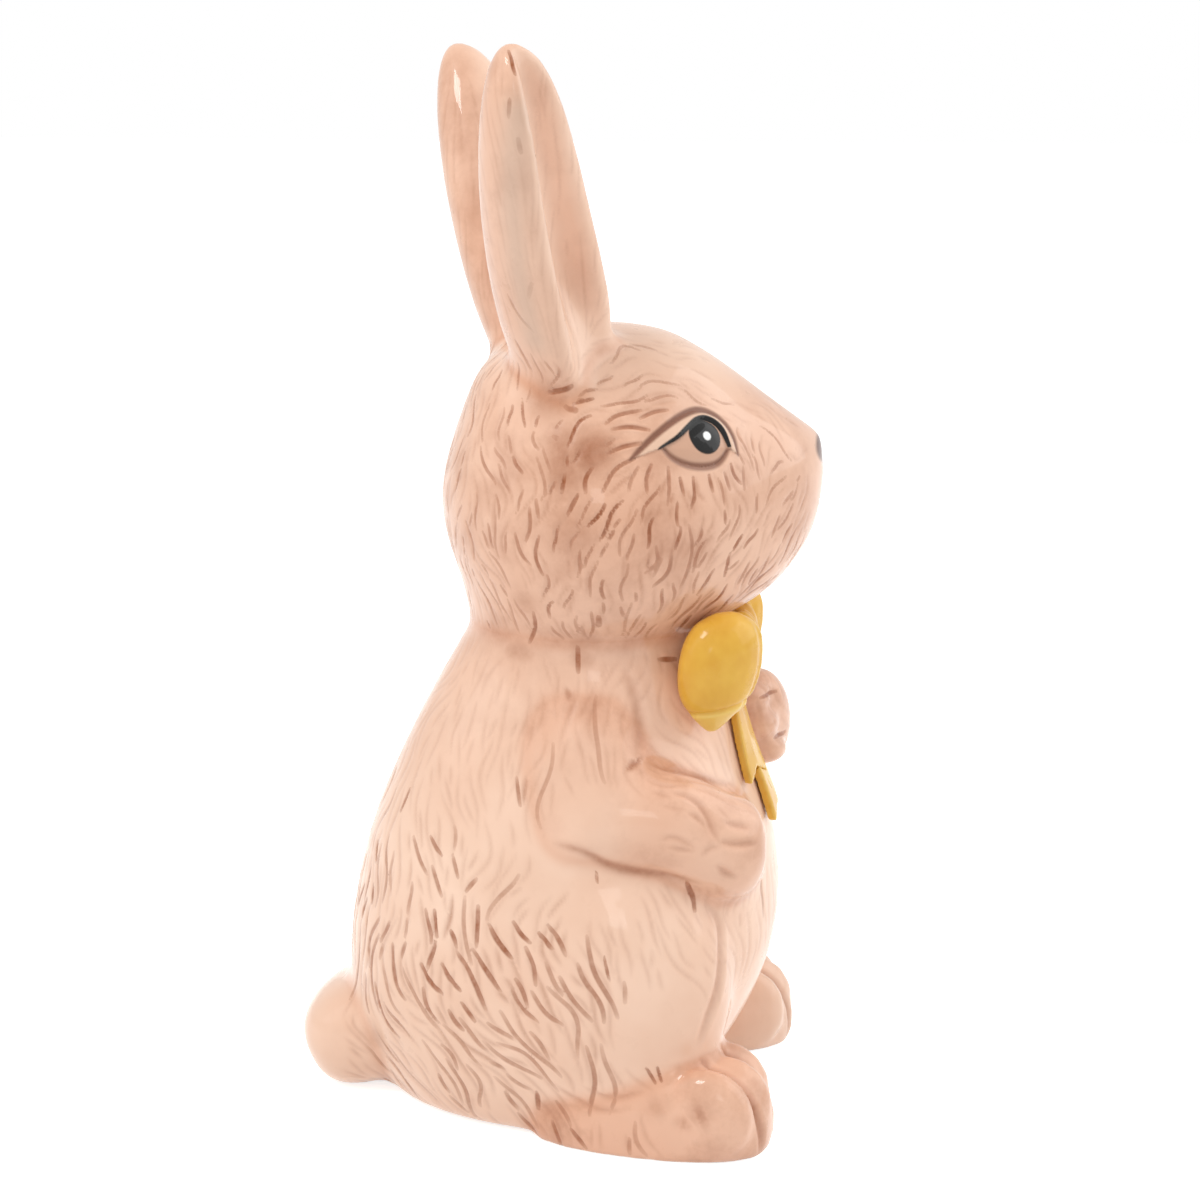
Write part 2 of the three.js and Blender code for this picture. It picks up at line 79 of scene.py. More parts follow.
MM = 0.001
BODY_FRONT = 46.0  # neck axis to the front of the belly
HEAD_SEAT = 116.8  # floor to the underside of the head
HEAD_TURN = math.radians(20)
HEAD_HOME = Matrix.Translation((0, 0, HEAD_SEAT)) @ Matrix.Rotation(HEAD_TURN, 4, "Z")
GOLDEN_ANGLE = 2.39996  # turn between even directions around a sphere

Colour = tuple[float, float, float, float]
Point = tuple[float, float, float]


class Side(Enum):
    """Side of the rabbit, as the sign of x."""

    RIGHT = -1
    LEFT = 1


class Coat(Enum):
    """Material slot that a piece is glazed in."""

    PINK = "pink_glaze"
    YELLOW = "yellow_glaze"


# ---- small tools


def linear(red: float, green: float, blue: float) -> Colour:
    """Turn a colour seen on screen, 0 to 255, into the renderer's own values.

    Args:
        red: Red as seen.
        green: Green as seen.
        blue: Blue as seen.

    Returns:
        The colour with an alpha of 1.
    """
    values = [c / 255 for c in (red, green, blue)]
    r, g, b = (c / 12.92 if c <= 0.04045 else ((c + 0.055) / 1.055) ** 2.4 for c in values)
    return r, g, b, 1.0


def smooth(low: float, high: float, value: np.ndarray) -> np.ndarray:
    """Ease each value from 0 at low to 1 at high."""
    share = np.clip((value - low) / (high - low), 0, 1)
    return share * share * (3 - 2 * share)


def bell(value: np.ndarray, width: float) -> np.ndarray:
    """Give 1 where a value is 0, falling to about a third at a width."""
    return np.exp(-((value / width) ** 2))


def rounded(points: Sequence[tuple[float, ...]], times: int = 3) -> np.ndarray:
    """Cut the corners off a line of points, keeping its ends.

    Args:
        points: Points of the line.
        times: How often the corners are cut.

    Returns:
        The smoother line, one point a row.
    """
    line = np.array(points, float)
    for _ in range(times):
        near = 0.75 * line[:-1] + 0.25 * line[1:]
        far = 0.25 * line[:-1] + 0.75 * line[1:]
        middle = np.stack([near, far], axis=1).reshape(-1, line.shape[1])
        line = np.vstack([line[:1], middle, line[-1:]])
    return line


def gap_to_line(points: np.ndarray, line: np.ndarray) -> tuple[np.ndarray, np.ndarray]:
    """Measure how far points lie from a line of points.

    Args:
        points: Points to measure from, one a row.
        line: Points of the line, one a row.

    Returns:
        The distance of each point, and how far along the line it is, from 0 to 1.
    """
    best = np.full(len(points), np.inf)
    along = np.zeros(len(points))
    count = len(line) - 1
    for i in range(count):
        start, step = line[i], line[i + 1] - line[i]
        share = np.clip((points - start) @ step / max(step @ step, 1e-12), 0, 1)
        gap = np.linalg.norm(points - start - share[:, None] * step, axis=1)
        closer = gap < best
        best[closer] = gap[closer]
        along[closer] = (i + share[closer]) / count
    return best, along


def inside(points: np.ndarray, outline: np.ndarray) -> np.ndarray:
    """Test which flat points lie inside a closed outline.

    Args:
        points: Flat points, one a row.
        outline: Corners of the outline in order.

    Returns:
        True for each point inside.
    """
    within = np.zeros(len(points), bool)
    for (x0, y0), (x1, y1) in zip(outline, np.roll(outline, -1, axis=0)):
        spans = (y0 > points[:, 1]) != (y1 > points[:, 1])
        edge = (x1 - x0) * (points[:, 1] - y0) / (y1 - y0 if y1 != y0 else 1e-9) + x0
        within ^= spans & (points[:, 0] < edge)
    return within


def linked(name: str, data: ID) -> Object:
    """Put a mesh, lamp or camera into the scene.

    Args:
        name: Name of the object.
        data: What the object shows.

    Returns:
        The new object, at the origin.
    """
    made = bpy.data.objects.new(name, data)
    bpy.context.scene.collection.objects.link(made)
    return made


def opened(*meshes: Mesh) -> bmesh.types.BMesh:
    """Load meshes into one shape to edit.

    Args:
        meshes: Meshes to load, which stay as they are.

    Returns:
        The shape.
    """
    shape = bmesh.new()
    for mesh in meshes:
        shape.from_mesh(mesh)
    return shape


def written(shape: bmesh.types.BMesh, target: Mesh | str) -> Mesh:
    """Write a shape into a mesh and let go of it.

    Args:
        shape: Shape that is done with.
        target: Mesh to overwrite, or the name of a new one.

    Returns:
        The mesh.
    """
    mesh = bpy.data.meshes.new(target) if isinstance(target, str) else target
    shape.to_mesh(mesh)
    shape.free()
    return mesh


def search_tree(*meshes: Mesh) -> BVHTree:
    """Make one search tree of several meshes.

    Args:
        meshes: The meshes.

    Returns:
        The tree, in the meshes' own frame.
    """
    shape = opened(*meshes)
    tree = BVHTree.FromBMesh(shape)
    shape.free()
    return tree


def melted(name: str, mesh: Mesh, pitch: float) -> Mesh:
    """Remake a mesh as even quads, its overlapping parts joined.

    Args:
        name: Name of the mesh while it is worked on.
        mesh: Mesh to remake, which is used up.
        pitch: Size of the quads.

    Returns:
        The new mesh.
    """
    obj = linked(name, mesh)
    melt = obj.modifiers.new("melt", "REMESH")
    melt.mode = "VOXEL"
    melt.voxel_size = pitch
    shown = obj.evaluated_get(bpy.context.evaluated_depsgraph_get())
    fresh = bpy.data.meshes.new_from_object(shown)
    bpy.data.objects.remove(obj)
    bpy.data.meshes.remove(mesh)
    return fresh


# ---- finishes


class Recipe:
    """The node tree of a material or world while it is put together."""

    def __init__(self, owner: Material | World) -> None:
        """Start with an empty tree.

        Args:
            owner: Material or world that the tree is for.
        """
        owner.use_nodes = True
        self.owner = owner
        self.tree = owner.node_tree
        self.tree.nodes.clear()

    def add(
        self, kind: str, values: dict[str, object] | None = None, **options: object
    ) -> Node:
        """Add a node.

        Args:
            kind: Blender's name for the node type.
            values: Fixed values of its inputs, by name.
            options: Options of the node.

        Returns:
            The new node.
        """
        node = self.tree.nodes.new(kind)
        for key, value in options.items():
            setattr(node, key, value)
        for key, value in (values or {}).items():
            node.inputs[key].default_value = value
        return node

    def join(self, source: NodeSocket, target: NodeSocket) -> None:
        """Link one socket to another."""
        self.tree.links.new(source, target)

    def surface(self, source: NodeSocket, output: str = "ShaderNodeOutputMaterial") -> None:
        """Make a shader the result of the tree."""
        self.join(source, self.add(output).inputs["Surface"])

    def attribute(self, name: str, output: str = "Fac") -> NodeSocket:
        """Read an attribute of the mesh."""
        return self.add("ShaderNodeAttribute", attribute_name=name).outputs[output]

    def noise(self, scale: float, detail: float = 2.0, roughness: float = 0.5) -> NodeSocket:
        """Add a cloudy pattern fixed to the piece.

        Args:
            scale: Patches per metre.
            detail: Number of finer layers.
            roughness: Strength of the finer layers.

        Returns:
            The socket with values around 0.5.
        """
        place = self.add("ShaderNodeTexCoord").outputs["Object"]
        values = {"Scale": scale, "Detail": detail, "Roughness": roughness}
        node = self.add("ShaderNodeTexNoise", values)
        self.join(place, node.inputs["Vector"])
        return node.outputs["Fac"]

    def clouds(self, scale: float) -> NodeSocket:
        """Add soft patches from 0 to 1, so many per metre."""
        return self.mapped(self.noise(scale, 3, 0.55), 0.32, 0.68)

    def mapped(
        self,
        source: NodeSocket,
        low: float,
        high: float,
        to_low: float = 0,
        to_high: float = 1,
    ) -> NodeSocket:
        """Stretch a range of values onto another.

        Args:
            source: Values to change.
            low: Value that becomes to_low.
            high: Value that becomes to_high.
            to_low: Lowest result.
            to_high: Highest result.

        Returns:
            The changed values.
        """
        values = {"From Min": low, "From Max": high, "To Min": to_low, "To Max": to_high}
        node = self.add("ShaderNodeMapRange", values, clamp=True)
        self.join(source, node.inputs["Value"])
        return node.outputs["Result"]

    def maths(
        self, operation: str, first: NodeSocket, second: NodeSocket | float
    ) -> NodeSocket:
        """Work out one value from two.

        Args:
            operation: Blender's name for the operation.
            first: First value.
            second: Second value.

        Returns:
            The result.
        """
        node = self.add("ShaderNodeMath", operation=operation, use_clamp=True)
        self.join(first, node.inputs[0])
        if isinstance(second, NodeSocket):
            self.join(second, node.inputs[1])
        else:
            node.inputs[1].default_value = second
        return node.outputs[0]

    def mixed(self, share: NodeSocket, first: object, second: object) -> NodeSocket:
        """Mix two colours.

        Args:
            share: How much of the second shows.
            first: A colour, or the socket that carries one.
            second: A colour, or the socket that carries one.

        Returns:
            The mixed colour.
        """
        node = self.add("ShaderNodeMix", data_type="RGBA")
        self.join(share, node.inputs["Factor"])
        for socket, colour in ((node.inputs[6], first), (node.inputs[7], second)):
            if isinstance(colour, NodeSocket):
                self.join(colour, socket)
            else:
                socket.default_value = colour
        return node.outputs[2]

    def in_view(self) -> NodeSocket:
        """Tell rays that show the surroundings from rays that light the figure.

        Returns:
            Socket that is 1 for what is seen straight, mirrored or through something.
        """
        path = self.add("ShaderNodeLightPath")
        seen = path.outputs["Is Camera Ray"]
        for name in ("Is Glossy Ray", "Is Transmission Ray"):
            seen = self.maths("MAXIMUM", seen, path.outputs[name])
        return seen


@dataclass(frozen=True)
class Glaze:
    """Shiny coat that all the finishes share."""

    name: str
    roughness: tuple[float, float] = (0.26, 0.36)
    shine: float = 0.12
    coat: float = 0.42
    coat_roughness: float = 0.04
    refraction: float = 1.5
    mottle: float = 220  # duller patches per metre
    ripple: float = 0.012
    ripples: float = 420  # per metre

    def coated(
        self, recipe: Recipe, colour: NodeSocket, level: str = ""
    ) -> Material:
        """Finish a recipe with the glossy coat.

        Args:
            recipe: Recipe that holds the colour.
            colour: Socket with the colour.
            level: Attribute with the way that the coat faces where it fills the carving.

        Returns:
            The material.
        """
        values = {
            "IOR": self.refraction,
            "Specular IOR Level": self.shine,
            "Coat Weight": self.coat,
            "Coat Roughness": self.coat_roughness,
        }
        shader = recipe.add("ShaderNodeBsdfPrincipled", values)
        recipe.join(colour, shader.inputs["Base Color"])
        uneven = recipe.mapped(recipe.noise(self.mottle, 3), 0.3, 0.7, *self.roughness)
        recipe.join(uneven, shader.inputs["Roughness"])
        bump = recipe.add("ShaderNodeBump", {"Strength": self.ripple, "Distance": MM})
        recipe.join(recipe.noise(self.ripples), bump.inputs["Height"])
        facing = bump.outputs["Normal"]
        recipe.join(facing, shader.inputs["Normal"])
        if level:
            kinds = {"vector_type": "NORMAL", "convert_from": "OBJECT", "convert_to": "WORLD"}
            turn = recipe.add("ShaderNodeVectorTransform", **kinds)
            recipe.join(recipe.attribute(level, "Vector"), turn.inputs["Vector"])
            facing = turn.outputs["Vector"]
        recipe.join(facing, shader.inputs["Coat Normal"])
        recipe.surface(shader.outputs["BSDF"])
        return recipe.owner


@dataclass(frozen=True)
class PinkGlaze(Glaze):
    """Pale pink glaze over a brown wash that stays in the carving."""

    name: str = "pink_glaze"
    pale: Colour = linear(249, 214, 190)
    pink: Colour = linear(239, 199, 173)
    rosy: Colour = linear(224, 166, 133)
    brown: Colour = linear(154, 84, 42)
    clouds: float = 38  # of the deeper pink, per metre
    patches: float = 60  # of brown where the tone is rosy, per metre
    patchy: float = 0.75  # strength of the patches
    grains: float = 520  # in the wash, per metre
    worn: float = 0.72  # wash that is left in the grains
    edge: tuple[float, float] = (0.42, 0.66)  # where a sharp line of wash begins and is full

    def material(self) -> Material:
        """Make the material, which reads the skin's tone, wash, lines and paint.

        Returns:
            The material.
        """
        recipe = Recipe(bpy.data.materials.new(self.name))
        base = recipe.mixed(recipe.clouds(self.clouds), self.pale, self.pink)
        tone = recipe.attribute("tone")
        base = recipe.mixed(tone, base, self.rosy)
        patch = recipe.mapped(recipe.noise(self.patches, 5, 0.62), 0.46, 0.72, 0, self.patchy)
        base = recipe.mixed(recipe.maths("MULTIPLY", patch, tone), base, self.brown)
        grain = recipe.mapped(recipe.noise(self.grains, 3, 0.6), 0.3, 0.7, self.worn, 1)
        line = recipe.mapped(recipe.attribute("line"), *self.edge)
        line = recipe.maths("MULTIPLY", line, recipe.attribute("strength"))
        wash = recipe.maths("MAXIMUM", recipe.attribute("wash"), line)
        base = recipe.mixed(recipe.maths("MULTIPLY", wash, grain), base, self.brown)
        base = recipe.mixed(recipe.attribute("painted"), base, recipe.attribute("paint", "Color"))
        return self.coated(recipe, base, "level")


@dataclass(frozen=True)
class YellowGlaze(Glaze):
    """Warm yellow glaze, paler on edges where it thins and as a painted highlight, and deeper where
    it pools in the folds.
    """

    name: str = "yellow_glaze"
    coat: float = 0.3
    bright: Colour = linear(233, 185, 76)
    deep: Colour = linear(219, 163, 58)
    # paler yellow on raised edges: thinned glaze, and partly a painted highlight
    thin: Colour = linear(240, 206, 116)
    pooled: Colour = linear(178, 116, 32)
    clouds: float = 90  # of the deeper yellow, per metre

    def material(self) -> Material:
        """Make the material, which reads the piece's tone and wash.

        Returns:
            The material.
        """
        recipe = Recipe(bpy.data.materials.new(self.name))
        base = recipe.mixed(recipe.clouds(self.clouds), self.bright, self.deep)
        base = recipe.mixed(recipe.attribute("tone"), base, self.thin)
        base = recipe.mixed(recipe.attribute("wash"), base, self.pooled)
        return self.coated(recipe, base)


# ---- the skin


class Skin:
    """A working surface in millimetres, with the colours that it carries at each point."""

    BARE = linear(240, 210, 190)
    LEVEL_ROUNDS = 40  # of easing, after which glaze lies level over the carving

    def __init__(self, mesh: Mesh) -> None:
        """Read a mesh.

        Args:
            mesh: Mesh to work on.
        """
        self.mesh = mesh
        self.place = self.read(mesh.vertices, "co", 3)
        self.edges = self.read(mesh.edges, "vertices", 2, np.int32)
        count = len(self.place)
        self.degree = np.bincount(self.edges.ravel(), minlength=count).astype(float)
        self.wash = np.zeros(count)
        self.line = np.zeros(count)
        self.strength = np.zeros(count)
        self.tone = np.zeros(count)
        self.painted = np.zeros(count)
        self.paint = np.tile(np.array(self.BARE), (count, 1))

    @staticmethod
    def read(items: object, key: str, width: int, kind: type = np.float32) -> np.ndarray:
        """Read one property of many mesh items.

        Args:
            items: Vertices or edges of a mesh.
            key: Name of the property.
            width: Numbers per item.
            kind: Kind of number.

        Returns:
            One row per item.
        """
        values = np.zeros(len(items) * width, kind)
        items.foreach_get(key, values)
        return values.reshape(-1, width).astype(np.int64 if kind is np.int32 else float)

    def update(self) -> None:
        """Write the places back to the mesh."""
        self.mesh.vertices.foreach_set("co", self.place.astype(np.float32).ravel())
        self.mesh.update()

    def normals(self) -> np.ndarray:
        """Work out the outward direction at each point."""
        self.update()
        return self.read(self.mesh.vertex_normals, "vector", 3)

    def seen_from(self, frame: Matrix) -> np.ndarray:
        """Give the places as they are in another frame."""
        inward = frame.inverted()
        return self.place @ np.array(inward.to_3x3()).T + np.array(inward.translation)

    def tree(self) -> BVHTree:
        """Make a search tree of the surface."""
        self.update()
        return search_tree(self.mesh)

    def spread(self, values: np.ndarray, weight: np.ndarray | float, rounds: int) -> np.ndarray:
        """Even out values over neighbouring points.

        Args:
            values: One value or row per point.
            weight: How far each point moves towards its neighbours' mean, from 0 to 1.
            rounds: How often.

        Returns:
            The evened values.
        """
        flat = values.reshape(len(self.place), -1).copy()
        share = np.broadcast_to(np.asarray(weight, float).reshape(-1, 1), flat.shape)
        first, second = self.edges.T
        count = len(flat)
        for _ in range(rounds):
            for column in range(flat.shape[1]):
                line = flat[:, column]
                total = np.bincount(first, line[second], count)
                total += np.bincount(second, line[first], count)
                flat[:, column] = line + share[:, column] * (total / self.degree - line)
        return flat.reshape(values.shape)

    def ease(self, weight: np.ndarray | float, rounds: int) -> None:
        """Soften the surface."""
        self.place = self.spread(self.place, weight, rounds)

    def press(self, depth: np.ndarray) -> None:
        """Move each point inwards by a depth."""
        self.place -= self.normals() * depth[:, None]

    def stain(self, wash: np.ndarray) -> None:
        """Leave at least this much brown wash at each point."""
        self.wash = np.maximum(self.wash, wash)

    def draw(self, line: np.ndarray, strength: np.ndarray) -> None:
        """Draw sharp lines of brown wash.

        Args:
            line: 1 along the middle of a line, falling evenly to 0 beside it.
            strength: Strength of the wash in the nearest line.
        """
        nearer = line > self.line
        self.line = np.where(nearer, line, self.line)
        self.strength = np.where(nearer, strength, self.strength)

    def hollows(self, rounds: int) -> np.ndarray:
        """Measure how deep each point lies below surroundings that widen with the rounds."""
        level = self.spread(self.place, 0.5, rounds)
        return np.einsum("ij,ij->i", level - self.place, self.normals())

    def brush(self, mask: np.ndarray, colour: Colour) -> None:
        """Paint over what is there.

        Args:
            mask: Cover at each point, from 0 to 1.
            colour: Colour of the paint.
        """
        total = mask + self.painted * (1 - mask)
        share = np.where(total > 1e-6, mask / np.maximum(total, 1e-6), 0)[:, None]
        self.paint = self.paint * (1 - share) + np.array(colour) * share
        self.painted = total

    def store(self) -> None:
        """Write places, outward directions and colours into the mesh."""
        carved = self.place
        self.place = self.spread(carved, 0.5, self.LEVEL_ROUNDS)
        level = self.normals()
        self.place = carved
        for name, ways in (("facing", self.normals()), ("level", level)):
            layer = self.mesh.attributes.new(name, "FLOAT_VECTOR", "POINT")
            layer.data.foreach_set("vector", ways.astype(np.float32).ravel())
        for name in ("wash", "line", "strength", "tone", "painted"):
            layer = self.mesh.attributes.new(name, "FLOAT", "POINT")
            layer.data.foreach_set("value", np.clip(getattr(self, name), 0, 1).astype(np.float32))
        layer = self.mesh.attributes.new("paint", "FLOAT_COLOR", "POINT")
        layer.data.foreach_set("color", self.paint.astype(np.float32).ravel())


@dataclass
class Grooves:
    """Tooled lines on a skin, as closely spaced points, with soft or sharp wash in them."""

    sharp: bool = False
    blunt: float = 0.5
    slim: float = 1.0
    ridge: float = 0.24  # height of the clay pushed up beside a line, as a share of its depth
    ridge_at: float = 1.9  # half widths from the middle of the line to that ridge
    fade: float = 2.4  # half widths from the middle at which a sharp line ends
    points: list[Vector] = field(default_factory=list)
    ways: list[Vector] = field(default_factory=list)
    looks: list[Point] = field(default_factory=list)

    @classmethod
    def inked(cls) -> "Grooves":
        """Start lines that have sharp wash and blunt ends."""
        return cls(sharp=True, blunt=0.3, slim=0.74)

    def add(self, line: Sequence[Vector], width: float, depth: float, wash: float) -> None:
        """Add a line that tapers at both ends.

        Args:
            line: Points of the line.
            width: Half width in the middle.
            depth: Depth in the middle.
            wash: Strength of the brown in it.
        """
        last = len(line) - 1
        for i, point in enumerate(line):
            taper = max(math.sin(math.pi * (i + 0.5) / (last + 1)), 0.02) ** self.blunt
            self.points.append(point)
            self.ways.append((line[min(i + 1, last)] - line[max(i - 1, 0)]).normalized())
            half = self.slim * width * (0.55 + 0.45 * taper)
            self.looks.append((half, depth * taper, wash * taper))

    def cut(self, skin: Skin, reach: float = 3.0) -> None:
        """Press the lines into a skin and leave brown wash in them.

        Args:
            skin: Skin to cut.
            reach: Furthest that a line acts, in millimetres.
        """
        finder = KDTree(len(self.points))
        for i, point in enumerate(self.points):
            finder.insert(point, i)
        finder.balance()
        rows = (self.points, self.ways, self.looks)
        points, ways, looks = (np.array(values, float) for values in rows)
        low, high = points.min(0) - reach, points.max(0) + reach
        around = np.flatnonzero(((skin.place > low) & (skin.place < high)).all(1))
        found = [finder.find(place) for place in skin.place[around]]
        index = np.array([hit[1] for hit in found])
        gap = np.array([hit[2] for hit in found])
        away = skin.place[around] - points[index]
        along = np.einsum("ij,ij->i", away, ways[index])
        across = np.sqrt(np.maximum(gap**2 - np.minimum(np.abs(along), 0.3) ** 2, 0))
        width, depth, wash = looks[index].T
        share = np.where(gap < reach, across / width, 99)

        def everywhere(values: np.ndarray) -> np.ndarray:
            """Give the values of the points around the lines to the whole skin."""
            whole = np.zeros(len(skin.place))
            whole[around] = values
            return whole

        profile = bell(share, 1) - self.ridge * bell(share - self.ridge_at, 0.7)
        skin.press(everywhere(depth * profile))
        if self.sharp:
            skin.draw(everywhere(np.clip(1 - share / self.fade, 0, 1)), everywhere(wash))
        else:
            skin.stain(everywhere(wash * bell(share, 0.95)))


@dataclass(frozen=True)
class Tooled:
    """One line cut by hand on the right side, and on the left one too if it is on both."""

    STEP: ClassVar[float] = 0.4  # between the points of a line

    points: Sequence[Point]
    width: float = 0.7
    depth: float = 0.42
    wash: float = 0.75
    both: bool = True

    def lay(self, tree: BVHTree, home: Matrix, grooves: Grooves) -> None:
        """Lay the line on a skin.

        Args:
            tree: Search tree of the skin.
            home: Frame that the points are given in.
            grooves: Where the line is added.
        """
        for side in Side if self.both else (Side.RIGHT,):
            line = rounded(self.points, 2) * np.array((-side.value, 1, 1))
            lengths = np.r_[0, np.cumsum(np.linalg.norm(np.diff(line, axis=0), axis=1))]
            stops = np.linspace(0, lengths[-1], max(int(lengths[-1] / self.STEP), 4))
            even = np.stack([np.interp(stops, lengths, column) for column in line.T], axis=1)
            laid = [tree.find_nearest(home @ Vector(point))[0] for point in even]
            grooves.add(laid, self.width, self.depth, self.wash)


@dataclass(frozen=True)
class Lie:
    """How the fur lies at one place of a side: its angle, and how dense and deep it is cut."""

    ahead: float
    up: float
    angle: float
    dense: float = 1.0
    deep: float = 0.5


@dataclass
class Fur:
    """Tooled strokes that follow the lie of the fur."""

    lies: Sequence[Lie]
    home: Matrix
    seed: int
    tries: int
    spacing: float
    lengths: tuple[float, float]
    width: float
    depth: float
    wash: float
    pick: float = 0.0
    sparse: float = 0.3
    reach: float = 8.0
    step: float = 0.45
    wave: float = 62.0  # degrees that a stroke wanders
    ripple: float = 0.055  # wanderings per millimetre
    finer: tuple[float, float] = (2.2, 0.25)  # rate and strength of smaller wanderings
    sway: tuple[float, float] = (6.0, 0.22)  # turn and strength of each stroke's own curve
    steep: float = 0.15  # least share of the fur's direction that lies along the skin

    def __post_init__(self) -> None:
        """Keep the lies as rows of numbers, and the way into their frame."""
        self.table = np.array([astuple(lie) for lie in self.lies])
        self.into = self.home.inverted()
        self.turn = self.home.to_3x3()

    def look(self, place: Vector) -> tuple[Vector, float, float]:
        """Find how the fur lies at a place.

        Args:
            place: Place on the skin.

        Returns:
            Direction, density and depth.
        """
        spot = self.into @ place
        gap = (self.table[:, 0] + spot.y) ** 2 + (self.table[:, 1] - spot.z) ** 2
        share = np.exp(-(gap - gap.min()) / (2 * self.reach**2))
        share /= share.sum()
        angle = np.radians(self.table[:, 2])
        along, up = float(share @ np.cos(angle)), float(share @ np.sin(angle))
        way = self.turn @ Vector((0, -along, up))
        return way, float(share @ self.table[:, 3]), float(share @ self.table[:, 4])

    def comb(self, skin: Skin, bare: Callable[[Vector], bool], grooves: Grooves) -> int:
        """Lay strokes over a skin, each clear of the ones before.

        Args:
            skin: Skin to follow.
            bare: Tells which places stay smooth.
            grooves: Where the strokes are added.

        Returns:
            How many strokes there are.
        """
        rng = random.Random(self.seed)
        tree = skin.tree()
        taken: dict[tuple[int, int, int], list[Vector]] = {}

        def cell(place: Vector) -> tuple[int, int, int]:
            """Name the cell that a place is in."""
            return tuple(int(math.floor(c / self.spacing)) for c in place)

        def free(place: Vector, room: float) -> bool:
            """Test that no other stroke is near a place."""
            i, j, k = cell(place)
            return not any(
                (other - place).length < room
                for a, b, c in product((-1, 0, 1), repeat=3)
                for other in taken.get((i + a, j + b, k + c), ())
            )

        for place in grooves.points:
            taken.setdefault(cell(place), []).append(place)
        count = 0
        for _ in range(self.tries):
            start = Vector(skin.place[rng.randrange(len(skin.place))])
            strong, odds = rng.random(), rng.random()
            length, phase = rng.uniform(*self.lengths), rng.uniform(0, math.tau)
            if bare(start) or not free(start, self.spacing):
                continue
            _, dense, deep = self.look(start)
            if odds > dense * deep**self.pick:
                continue
            line = [start]
            for k in range(int(length / self.step)):
                place, normal, _, _ = tree.find_nearest(line[-1])
                way, dense, _ = self.look(place)
                flat = way - normal * way.dot(normal)
                if flat.length < self.steep or dense < self.sparse:
                    break
                rate, finer = self.finer
                curl = noise.noise(place * self.ripple)
                curl += finer * noise.noise(place * rate * self.ripple)
                turn, sway = self.sway
                curl += sway * math.sin(phase + turn * k * self.step / length)
                flat.rotate(Matrix.Rotation(math.radians(self.wave) * curl, 3, normal))
                ahead, _, _, _ = tree.find_nearest(place + flat.normalized() * self.step)
                if bare(ahead) or not free(ahead, 0.5 * self.spacing):
                    break
                line.append(ahead)
            if len(line) < 0.4 * self.lengths[0] / self.step:
                continue
            for place in line[::2]:
                taken.setdefault(cell(place), []).append(place)
            power = 0.3 + 0.7 * deep * (0.4 + 0.9 * strong**2)
            width = self.width * (0.8 + 0.4 * power)
            grooves.add(line, width, self.depth * power, self.wash * power)
            count += 1
        return count


# ---- the castings


@dataclass(frozen=True)
class Melt:
    """How the glaze softens a casting: all over, and how far and how much along its joint."""

    soft: float
    reach: float
    fillet: float


